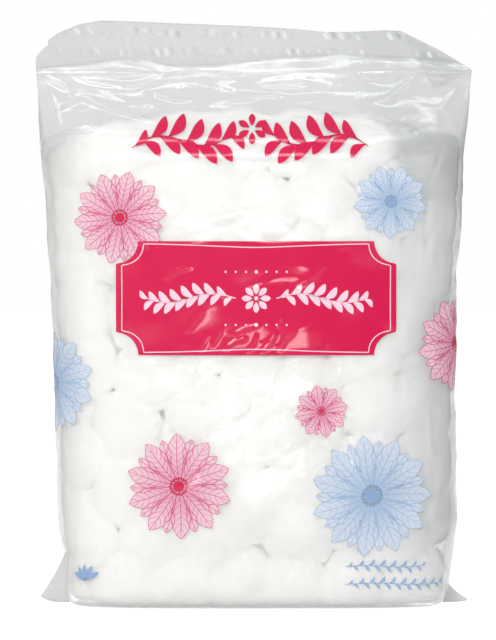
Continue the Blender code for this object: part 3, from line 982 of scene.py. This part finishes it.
def ballPoints(number, unit):
    # Each point of a sphere is drawn in to the softest least of its limits: the loose radius with its lumps,
    # the plane midway to each neighbour, the top and the film. least = -log(sum exp(-limit / soft)) * soft
    rng = np.random.default_rng(1000 + number)
    ways = turnedBy(rng, unit)
    centre = centres[number]
    apart = centres - centre
    distance = np.linalg.norm(apart, axis=1)
    near = (distance > 0) & (distance < 1.25 * ball["diameter"])
    facing = ways @ (apart[near] / distance[near][:, None]).T
    planes = np.where(facing > 0.05, (distance[near] - ball["contactGap"]) / 2 / np.maximum(facing, 0.05), 1)
    lumps = np.zeros(len(ways))
    for size, share in ((1.6, 0.6), (3.4, 0.4)):
        for _ in range(4):
            lumps += share / 4 * np.sin(ways @ rng.normal(size=3) * size + rng.uniform(0, 6.3))
    wander = sum(np.sin(ways @ rng.normal(size=3) * 4.5 + rng.uniform(0, 6.3)) for _ in range(5)) / 2.5
    planes *= 1 + ball["wander"] * wander[:, None]
    loose = ball["swell"] * ball["diameter"] / 2 * (1 - ball["lump"] * (0.5 + lumps))
    drop = ball["topDrop"] * (centre[0] / (pack["flatWidth"] / 2)) ** 2
    roof = (ball["fillHeight"] + 0.0035 - drop - centre[2]) / np.maximum(ways[:, 2], 0.05)
    limits = np.column_stack([loose, planes, roof, reachToFilm(centre, ways)])
    soft = ball["softEdge"]
    lowest = limits.min(axis=1)
    least = lowest - np.log(np.exp((lowest[:, None] - limits) / soft).sum(axis=1)) * soft
    tufts = sum(np.sin(ways @ rng.normal(size=3) * 14 + rng.uniform(0, 6.3)) for _ in range(14))
    least -= ball["tuft"] * (0.5 + 0.5 * tufts / math.sqrt(14))
    return centre + ways * least[:, None]


def buildBalls(material):
    unit, faces = unitBall()
    front = 0
    packed = {"left": [], "right": []}
    for number in range(len(centres)):
        points = ballPoints(number, unit)
        if behind[number]:
            packed["left" if centres[number, 0] < 0 else "right"].append(points)
            continue
        front += 1
        piece = newPiece(f"ball_{front:02d}", points, faces, material)
        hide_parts(f"cotton_ball_{front:02d}")
    for side, held in packed.items():
        shifted = np.concatenate([faces + len(unit) * place for place in range(len(held))])
        piece = newPiece(f"balls_back_{side}", np.concatenate(held), shifted, material)
        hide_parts("cotton_balls_back")
    print("balls built:", front, "in front,", sum(map(len, packed.values())), "behind")


# The print, in mm on the front of the pack: x to the right and height upwards
inks = {
    "deepPink": shown(207, 6, 72),
    "pink": shown(212, 96, 148),
    "pinkMid": shown(229, 150, 183),
    "pinkPale": shown(241, 205, 220),
    "blue": shown(132, 163, 202),
    "blueMid": shown(168, 194, 224),
    "bluePale": shown(215, 225, 238),
}
plaque = {
    "middleMm": (1.0, 154.5),
    "halfWideMm": 69.0,
    "halfTallMm": 28.0,
    "scoopMm": 11.0,  # radius of the hollow corners
    "around": 560,
    "rings": 60,
    "lineInsetMm": 3.0,
    "lineWideMm": 0.5,
    "branchMm": (10, 54),  # from the middle to either side
    "dotRowMm": 13,
    "dotPitchMm": 5.0,
}
liftsMm = {"fill": 0.16, "lines": 0.24, "plaque": 0.18, "plaqueLines": 0.27, "ornament": 0.2}
# A whorl's leaves as shares of its reach: start, length, width for each radian between them, and bend
leafShares = {"long": (0.09, 0.91, 0.30, 0.02), "short": (0.42, 0.50, 0.15, 0.015)}
whorls = [
    {"name": "pink_high_left", "tone": "pink", "atMm": (-66, 194), "reachMm": 23, "leaves": 10, "turn": 0.1},
    {"name": "blue_high_right", "tone": "blue", "atMm": (67, 202), "reachMm": 18, "leaves": 9, "turn": 0.5},
    {"name": "pink_middle", "tone": "pink", "atMm": (33, 99), "reachMm": 13, "leaves": 8, "turn": 0.2},
    {"name": "blue_low_right", "tone": "blue", "atMm": (58, 57), "reachMm": 30, "leaves": 11, "turn": 0.0},
    {"name": "pink_low_left", "tone": "pink", "atMm": (-37, 62), "reachMm": 26, "leaves": 10, "turn": 0.35},
    {"name": "blue_edge", "tone": "blue", "atMm": (-104, 112), "reachMm": 25, "leaves": 10, "turn": 0.3},
    {"name": "pink_edge", "tone": "pink", "atMm": (105, 131), "reachMm": 24, "leaves": 10, "turn": 0.15},
]


# How the print goes round the pack: its x is the film's x on the front, and beyond that the length
# along the film
wrap = {"flatShare": 0.8, "step": 0.002, "angles": np.linspace(-math.pi - 1.3, 1.3, 1801)}


def wrapTable():
    # per height: the print's x at each angle
    heights = np.arange(0.006, 0.264, wrap["step"])[:, None]
    angle = wrap["angles"][None]
    left, right = edges(heights)
    _, halfDepth, _, square = section(heights)
    cosine, sine, m = np.cos(angle), np.sin(angle), ovalSize(angle, square)
    x, y = (right - left) / 2 * cosine / m, halfDepth * sine / m
    flat = (sine < 0) & (np.abs(cosine / m) < wrap["flatShare"])
    dx, dy = np.diff(x, axis=1), np.diff(y, axis=1)
    gone = np.cumsum(np.where(flat[:, 1:], dx, np.hypot(dx, dy)), axis=1)
    gone = np.concatenate([np.zeros(heights.shape), gone], axis=1)
    front = int(np.argmin(np.abs(wrap["angles"] + math.pi / 2)))
    return heights[:, 0], gone - gone[:, front : front + 1] + x[:, front : front + 1] + (left + right) / 2


wrapHeights, wrapRuns = wrapTable()


def angleAt(run, z):
    # the angle at which a print's x lies, between the table's two nearest heights
    place = np.clip((z - wrapHeights[0]) / wrap["step"], 0, len(wrapHeights) - 1.001)
    row = place.astype(int)
    share = place - row
    angle = np.zeros(run.shape)
    for number in np.unique(row):
        here = row == number
        below = np.interp(run[here], wrapRuns[number], wrap["angles"])
        above = np.interp(run[here], wrapRuns[number + 1], wrap["angles"])
        angle[here] = below + (above - below) * share[here]
    return angle


def onFilm(run, z, lift):
    # points moved out from the film by lift, along the cross product of its slopes round and up the pack
    angle = angleAt(run, z)
    turn, step = 0.004, 0.0004
    around = onBody(angle + turn, z) - onBody(angle - turn, z)
    upward = onBody(angle, z + step) - onBody(angle, z - step)
    normal = np.cross(around, upward)
    normal /= np.linalg.norm(normal, axis=-1, keepdims=True)
    return onBody(angle, z) + lift * normal


def inkPiece(name, patches, material, lift):
    # patches: pairs of a stack of grids (k, rows, columns, 2) in mm and how deep its tone is, 0 to 1
    points, faces, tones = [], [], []
    start = 0
    for grids, tone in patches:
        count, rows, columns = grids.shape[:3]
        flat = grids.reshape(-1, 2) * mm
        local = gridFaces(rows, columns)
        shift = np.arange(count)[:, None, None] * rows * columns
        faces.append((local[None] + shift).reshape(-1, 4) + start)
        points.append(flat)
        tones.append(np.broadcast_to(tone, grids.shape[:3]).ravel())
        start += len(flat)
    flat, faces, tones = np.concatenate(points), np.concatenate(faces), np.concatenate(tones)
    solid = onFilm(flat[:, 0], flat[:, 1], lift * mm)
    # outward faces: they run anticlockwise in the print's own plane
    first, second = flat[faces[:, 1]] - flat[faces[:, 0]], flat[faces[:, 3]] - flat[faces[:, 0]]
    wrong = first[:, 0] * second[:, 1] < first[:, 1] * second[:, 0]
    faces[wrong] = faces[wrong][:, ::-1]
    return newPiece(name, solid, faces, material, {"tone": tones})


def ribbon(paths, width, taper=0.0):
    # paths is (k, steps, 2): a strip of that width along each, thinner at its ends by taper
    along = np.gradient(paths, axis=1)
    along /= np.linalg.norm(along, axis=-1, keepdims=True) + 1e-9
    across = np.stack([-along[..., 1], along[..., 0]], axis=-1)
    run = np.linspace(0, 1, paths.shape[1])
    half = width / 2 * (1 - taper * (2 * run - 1) ** 4)[None, :, None]
    return np.stack([paths + across * half, paths - across * half], axis=2)


def heading(angle):
    # the unit vector along each angle
    return np.stack([np.cos(angle), np.sin(angle)], axis=-1)


def leafPoint(leaf, u, v):
    # A point of each leaf: u runs from stalk to tip and v from edge to edge.
    # half width = wide * sin(pi u^1.25)^0.75, and the midrib bends sideways by bend * sin(pi u)
    start, way, long, wide, bend = leaf
    along = heading(way)[:, None, None]
    across = np.stack([-np.sin(way), np.cos(way)], axis=-1)[:, None, None]
    half = wide[:, None, None] * np.sin(np.pi * np.clip(u, 0, 1) ** 1.25) ** 0.75
    aside = bend[:, None, None] * np.sin(np.pi * u) + v * half
    return start[:, None, None] + along * (u * long[:, None, None])[..., None] + across * aside[..., None]


def leafFill(leaf, rows=17, columns=9):
    u, v = np.meshgrid(np.linspace(0, 1, rows), np.linspace(-1, 1, columns), indexing="ij")
    return leafPoint(leaf, u[None], v[None])


def leafLines(leaf, width, veins):
    # the outline, the midrib and the side veins of each leaf, as strips
    u = np.linspace(0, 1, 25)[None, None]
    strips = [ribbon(leafPoint(leaf, u, side * np.ones(u.shape))[:, 0], width) for side in (-1, 1)]
    strips.append(ribbon(leafPoint(leaf, u, np.zeros(u.shape))[:, 0], width * 1.15, 0.4))
    t = np.linspace(0, 1, 7)[None, None]
    for number in range(veins):
        start = 0.14 + 0.66 * number / (veins - 1)
        for side in (-1, 1):
            run = start + 0.20 * t * (1 - 0.3 * start)
            strips.append(ribbon(leafPoint(leaf, run, side * 0.92 * t**0.8)[:, 0], width * 0.75, 0.5))
    return strips


def fanOfLeaves(middle, count, turn, first, long, wide, bend=0.0):
    way = turn + np.arange(count) * 2 * math.pi / count
    start = np.array(middle) + first * heading(way)
    ones = np.ones(count)
    return start, way, long * ones, wide * ones, bend * ones


def disc(middle, radius, around=28, rings=4):
    angle = np.linspace(0, 2 * math.pi, around)
    size = np.linspace(0.02, 1, rings)[:, None, None] * radius
    return (np.array(middle) + size * heading(angle))[None]


def buildWhorl(whorl, paints):
    # long pointed leaves round a middle, short ones between their tips, and a ring of dots
    middle, reach, count = whorl["atMm"], whorl["reachMm"], whorl["leaves"]
    spread = 2 * math.pi / count
    leaves = []
    for kind, turn in (("long", whorl["turn"]), ("short", whorl["turn"] + spread / 2)):
        start, size, wide, bend = leafShares[kind]
        shape = (start * reach, size * reach, wide * spread * reach, bend * reach)
        leaves.append(fanOfLeaves(middle, count, turn, *shape))
    long, short = leaves
    fine = 0.18 + reach * 0.003
    run = np.linspace(0, 1, 17)[None, :, None]
    fills = [(leafFill(long), (1 - run) ** 1.6), (leafFill(short), 0.2 * (1 - run))]
    lines = [(strip, 0.6) for strip in leafLines(long, fine, 6)]
    lines += [(strip, 0.4) for strip in leafLines(short, fine, 3)]
    dots = np.arange(count * 2) * math.pi / count
    ring = np.array(middle) + 0.155 * reach * heading(dots)
    centre = [(disc(middle, 0.105 * reach), 1.0)]
    centre += [(disc(dot, 0.022 * reach, 10, 2), 1.0) for dot in ring]
    tone = whorl["tone"]
    inkPiece("print_fill_" + whorl["name"], fills, paints[tone + "Fill"], liftsMm["fill"])
    inkPiece("print_lines_" + whorl["name"], lines + centre, paints[tone + "Line"], liftsMm["lines"])


def plaqueGrid():
    # the rim, seen from the middle: the rectangle's side or the scoop's circle, whichever comes first
    angle = np.linspace(0, 2 * math.pi, plaque["around"] + 1)
    cosine, sine = np.abs(np.cos(angle)), np.abs(np.sin(angle))
    wide, tall, scoop = plaque["halfWideMm"], plaque["halfTallMm"], plaque["scoopMm"]
    rim = np.minimum(wide / np.maximum(cosine, 1e-6), tall / np.maximum(sine, 1e-6))
    toward = wide * cosine + tall * sine
    under = toward**2 - wide**2 - tall**2 + scoop**2
    rim = np.where(under > 0, np.minimum(rim, toward - np.sqrt(np.maximum(under, 0))), rim)
    outward = heading(angle)
    size = np.linspace(0.004, 1, plaque["rings"])[:, None, None]
    return (np.array(plaque["middleMm"]) + size * (rim[:, None] * outward)[None])[None], rim, outward


def sprig(start, end, count, long, wide, sway, lean):
    # leaves in turn on both sides of a waving stem, and the stem itself
    run = np.linspace(0, 1, 60)
    start, end = np.array(start, float), np.array(end, float)
    along = end - start
    across = np.array([-along[1], along[0]]) / np.linalg.norm(along)
    stem = start + run[:, None] * along + (sway * np.sin(2 * math.pi * run))[:, None] * across
    place = np.linspace(0.03, 0.97, count)
    foot = np.stack([np.interp(place, run, stem[:, axis]) for axis in (0, 1)], axis=-1)
    way = math.atan2(along[1], along[0]) + lean * np.where(np.arange(count) % 2, -1, 1)
    size = 1 - 0.35 * np.abs(2 * place - 1) ** 3
    leaf = (foot, way, long * size, wide * size, 0.12 * long * np.where(np.arange(count) % 2, 1, -1))
    return leaf, stem[None]


def buildPlaque(paints):
    grid, rim, outward = plaqueGrid()
    inkPiece("print_plaque", [(grid, 0.0)], paints["deepPink"], liftsMm["plaque"])
    middle = np.array(plaque["middleMm"])
    inner = (middle + (rim[:, None] - plaque["lineInsetMm"]) * outward)[None]
    pale = [(ribbon(inner, plaque["lineWideMm"]), 0.0)]
    near, far = plaque["branchMm"]
    # two leafy branches that leave a small whorl to either side, and a ring of dots above and below it
    for hand in (-1, 1):
        ends = middle + (hand * near, 0), middle + (hand * far, 0)
        leaf, stem = sprig(*ends, 16, 8.5, 1.75, 2.2 * hand, 0.75)
        pale += [(leafFill(leaf, 13, 7), 0.0), (ribbon(stem, 0.55), 0.0)]
    star = fanOfLeaves(middle, 8, 0.0, 1.6, 5.6, 1.5)
    pale += [(leafFill(star, 11, 7), 0.0), (disc(middle, 1.0), 0.0)]
    for level in (-plaque["dotRowMm"], plaque["dotRowMm"]):
        for place in range(-3, 4):
            dot = middle + (place * plaque["dotPitchMm"], level)
            pale.append((disc(dot, 0.55 if place else 0.9, 14, 2), 0.0))
    inkPiece("print_plaque_lines", pale, paints["pale"], liftsMm["plaqueLines"])


def buildGarlands(paints):
    deep = []
    for start, end, count, sway in (((-60, 228), (-11, 235), 12, 4.0), ((56, 229), (9, 235), 12, -4.0)):
        leaf, stem = sprig(start, end, count, 14.0, 2.9, sway, 0.85)
        deep += [(leafFill(leaf, 15, 7), 0.0), (ribbon(stem, 1.1, 0.6), 0.0)]
    star = fanOfLeaves((-1, 237.5), 6, 0.52, 1.5, 6.2, 1.7)
    deep.append((leafFill(star, 11, 7), 0.0))
    inkPiece("print_garland", deep, paints["deepPink"], liftsMm["ornament"])
    blue = []
    for start, end, count in (((45, 22), (84, 22), 15), ((45, 13.2), (94, 13.2), 19)):
        leaf, stem = sprig(start, end, count, 4.4, 0.85, 0.5, 0.8)
        blue += [(leafFill(leaf, 9, 5), 0.7), (ribbon(stem, 0.4), 0.7)]
    tuft = fanOfLeaves((-84, 14), 5, math.pi / 2 - 0.9, 0.5, 8.0, 1.3)
    tuft = (tuft[0], math.pi / 2 + np.linspace(-1.0, 1.0, 5), *tuft[2:])
    blue.append((leafFill(tuft, 11, 7), 0.9))
    inkPiece("print_small_sprigs", blue, paints["blueLine"], liftsMm["ornament"])


def inkPaint(name, first, second, alpha):
    # ink under the film's gloss: its tone runs from first to second, thinner in faint flecks
    p = newPaint(name)
    flecks = p.noise(700, 2)
    shader = p.add("BsdfPrincipled", None, {
        "Base Color": p.mixed(p.attribute("tone").clipped(), first, second),
        "Roughness": 0.45,
        "Specular IOR Level": 0.1,
        "Coat Weight": 0.7,
        "Coat Roughness": 0.08,
        "Alpha": (alpha + (flecks - 0.5) * 0.12).clipped(),
        "Normal": filmNormal(p, 0.12, 0.10),
    })
    return p.finished(shader)


def buildPrint():
    paints = {
        "deepPink": inkPaint("ink_deep_pink", inks["deepPink"], inks["deepPink"], 0.98),
        "pale": inkPaint("ink_pale_pink", inks["pinkPale"], inks["pinkPale"], 0.97),
        "pinkFill": inkPaint("ink_pink_fill", inks["pinkPale"], inks["pinkMid"], 0.80),
        "pinkLine": inkPaint("ink_pink_line", inks["pink"], inks["deepPink"], 0.92),
        "blueFill": inkPaint("ink_blue_fill", inks["bluePale"], inks["blueMid"], 0.80),
        "blueLine": inkPaint("ink_blue_line", inks["blueMid"], inks["blue"], 0.92),
    }
    for whorl in whorls:
        buildWhorl(whorl, paints)
    buildPlaque(paints)
    buildGarlands(paints)
    print("print done")


# The ears of doubled film at the lower corners, and the seal's right corner folded back
ears = [
    {"name": "left_ear", "side": -1, "heightMm": (0, 0.8, 2.0, 2.9, 4.0, 8.0, 14.0, 20.0, 25.5),
     "edgeMm": (-99.7, -103.2, -106.6, -107.4, -106.7, -104.0, -100.4, -97.2, -95.0)},
    {"name": "right_ear", "side": 1, "heightMm": (0, 0.5, 1.0, 2.0, 4.0, 6.0, 8.0, 9.6),
     "edgeMm": (100.5, 104.5, 107.6, 106.9, 103.6, 101.0, 98.9, 98.0)},
]
foldedFilm = {
    "thickness": 0.0004,
    "earSetbackMm": 4.0,
    "earTuckMm": 1.5,  # how far inside the pack's edge an ear begins
    "earDepthMm": 2.0,  # and how far in front of its tip
    "cornerFoldMm": ((107.5, 267.8), (75.0, 286.3)),  # x and height at both ends of the fold
    "cornerTipMm": (91.6, 18.0, 257.0),
    "cornerBehind": (0, 1.0, -0.3),  # the way that the whole corner is set back
    "cornerBehindMm": 0.9,
}


def closedSheet(name, points, material):
    # a grid of points made into a thin closed sheet, whose rims are joined
    thickness = foldedFilm["thickness"]
    rows, columns = points.shape[:2]
    du, dv = np.gradient(points, axis=1), np.gradient(points, axis=0)
    normal = np.cross(du, dv)
    normal /= np.linalg.norm(normal, axis=-1, keepdims=True) + 1e-12
    above, under = points + normal * thickness / 2, points - normal * thickness / 2
    count = rows * columns
    top = gridFaces(rows, columns)
    number = np.arange(count).reshape(rows, columns)
    rim = np.concatenate([number[0, :], number[1:, -1], number[-1, -2::-1], number[-2:0:-1, 0]])
    after = np.roll(rim, -1)
    side = np.stack([rim + count, after + count, after, rim], axis=1)
    faces = np.concatenate([top, top[:, ::-1] + count, side])
    flat = np.concatenate([above.reshape(-1, 3), under.reshape(-1, 3)])
    piece = newPiece(name, flat, faces, material)
    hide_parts("film_bag")


def buildEars(material):
    for ear in ears:
        top = ear["heightMm"][-1]
        z = np.linspace(0.3, top, 44)
        outer = np.interp(z, ear["heightMm"], ear["edgeMm"])
        left, right = edges(z * mm)
        inner = (left if ear["side"] < 0 else right) / mm - ear["side"] * foldedFilm["earTuckMm"]
        u = np.linspace(0, 1, 26)[None]
        x = inner[:, None] + (outer - inner)[:, None] * u
        height = np.broadcast_to(z[:, None], x.shape)
        rng = np.random.default_rng(film["seed"] + 40 + ear["side"])
        ripple = rolling(rng, x, height * 0.5, 9.0) * 0.5 + rolling(rng, x, height, 4.0) * 0.2
        y = foldedFilm["earSetbackMm"] + ripple * u - foldedFilm["earDepthMm"] * (1 - u)
        closedSheet(ear["name"], np.stack([x, y, height], axis=-1) * mm, material)


def buildFoldedCorner(material):
    # a triangle from the slanted fold line to the corner's tip behind the seal, with a soft ripple
    low, high = (np.array([x, sealY(x, z), z]) for x, z in foldedFilm["cornerFoldMm"])
    tip = np.array(foldedFilm["cornerTipMm"])
    u = np.linspace(0, 1, 40)[:, None, None]
    v = np.linspace(0, 0.97, 26)[None, :, None]
    edge = low + (high - low) * u
    points = edge + (tip - edge) * v
    points = points + np.array(foldedFilm["cornerBehind"]) * foldedFilm["cornerBehindMm"]
    rng = np.random.default_rng(film["seed"] + 60)
    ripple = rolling(rng, points[..., 0], points[..., 2], 12.0) * 0.5 * np.sin(np.pi * v[..., 0])
    points[..., 1] += ripple
    closedSheet("folded_corner", points * mm, material)


# The room: a pale floor, soft lamps and the camera
room = {
    "floorSize": 6.0,
    "aim": (-0.003, 0.0, 0.1425),
    "distance": 1.4,
    "elevation": math.radians(3.0),
    "lensMm": 157.5,
    "sensorMm": 36.0,
    "clip": (0.05, 20),
    "lampAim": (0, 0, 0.14),
    "floorDrop": 0.0002,
    "floorGlow": 0.86,
    "floorGrey": (0.75, 0.75, 0.75, 1),
    "floorGrain": ((0.40, 0.40, 0.40, 1), (0.42, 0.42, 0.42, 1)),
    # to the right, to the left and above: what the gloss shows, and what lights the rest
    "reflected": ((0.16, 0.165, 0.175, 1), (0.62, 0.61, 0.59, 1), (0.62, 0.63, 0.64, 1)),
    "lit": ((0.30, 0.305, 0.315, 1), (0.46, 0.455, 0.44, 1), (0.42, 0.42, 0.42, 1)),
}
lamps = [
    # name, place, width, height, watts, colour
    ("key", (-0.66, -1.60, 0.80), 0.6, 0.5, 13.7, (1.0, 0.98, 0.955)),
    ("window", (0.02, -1.5, 0.82), 0.46, 0.34, 4.8, (1.0, 1.0, 1.0)),
    ("fill", (1.1, -1.3, 0.5), 0.7, 0.9, 3.0, (0.93, 0.96, 1.0)),
    ("overhead", (0.0, -0.28, 1.15), 0.8, 0.10, 1.8, (0.95, 0.98, 1.0)),
    ("behind", (0.5, 1.7, 0.75), 1.0, 0.9, 15.0, (0.98, 0.99, 1.0)),
    ("front", (0.01, -1.6, 0.03), 0.42, 0.05, 0.9, (1.0, 0.99, 0.97)),
]


def buildWorld():
    # white behind the object; soft grey, darker to the right, for what it reflects and is lit by
    p = Paint(bpy.data.worlds.new("room"))
    bpy.context.scene.world = p.owner
    path = p.add("LightPath")
    straight = (path.output("Is Camera Ray") + path.output("Is Transmission Ray")).clipped()
    way = p.add("TexCoord").output("Generated")
    parts = p.add("SeparateXYZ", None, {0: way})
    leftward = parts.output("X").eased(0.9, -0.9)
    upward = parts.output("Z").eased(-0.1, 0.9)
    tones = {}
    for kind in ("reflected", "lit"):
        right, left, above = room[kind]
        tones[kind] = p.mixed(upward * 0.5, p.mixed(leftward, right, left), above)
    colour = p.mixed(path.output("Is Glossy Ray"), tones["lit"], tones["reflected"])
    colour = p.mixed(straight, colour, (1, 1, 1, 1))
    p.finished(p.add("Background", None, {"Color": colour}))


def buildFloor():
    # grey where it throws light, and near white where the camera or a gloss sees it
    p = newPaint("floor")
    plain = p.add("BsdfDiffuse", None, {"Color": room["floorGrey"]})
    grain = p.noise(6, 2).eased(0.3, 0.7)
    seen = p.add("BsdfDiffuse", None, {"Color": p.mixed(grain, *room["floorGrain"])})
    glow = p.add("Emission", None, {"Color": (1, 1, 1, 1), "Strength": room["floorGlow"]})
    path = p.add("LightPath")
    share = (path.output("Is Camera Ray") + path.output("Is Glossy Ray")).clipped()
    bright = p.add("AddShader", None, {0: seen, 1: glow})
    material = p.finished(p.add("MixShader", None, {0: share, 1: plain, 2: bright}))
    half = room["floorSize"] / 2
    mesh = bpy.data.meshes.new("floor")
    corners = [(-half, -half, 0), (half, -half, 0), (half, half, 0), (-half, half, 0)]
    mesh.from_pydata(corners, [], [(0, 1, 2, 3)])
    mesh.materials.append(material)
    floor = linked("floor", mesh)
    floor.location.z = -room["floorDrop"]


def buildLamps():
    for name, place, width, height, watts, colour in lamps:
        light = bpy.data.lights.new(name, "AREA")
        light.shape = "RECTANGLE"
        light.size, light.size_y = width, height
        light.energy = watts
        light.color = colour
        lamp = linked(name, light)
        lamp.location = place
        way = Vector(room["lampAim"]) - Vector(place)
        lamp.rotation_euler = way.to_track_quat("-Z", "Y").to_euler()


def buildCamera():
    view = bpy.data.cameras.new("camera")
    view.sensor_width = room["sensorMm"]
    view.lens = room["lensMm"]
    view.clip_start, view.clip_end = room["clip"]
    camera = linked("camera", view)
    back = Vector((0, -math.cos(room["elevation"]), math.sin(room["elevation"])))
    camera.location = Vector(room["aim"]) + back * room["distance"]
    camera.rotation_euler = back.to_track_quat("Z", "Y").to_euler()
    bpy.context.scene.camera = camera
    bpy.context.scene.view_settings.view_transform = "Standard"
    bpy.context.scene.cycles.transparent_max_bounces = 24
    bpy.context.scene.cycles.diffuse_bounces = 10
    bpy.context.scene.cycles.max_bounces = 24


buildCamera()
buildWorld()
buildFloor()
buildLamps()
print("room done")
buildFilm(filmPaint("clear_film"))
buildEars(filmPaint("folded_film", 0.36))
buildFoldedCorner(filmPaint("corner_film", -0.12))
buildPrint()
buildBalls(cottonPaint())
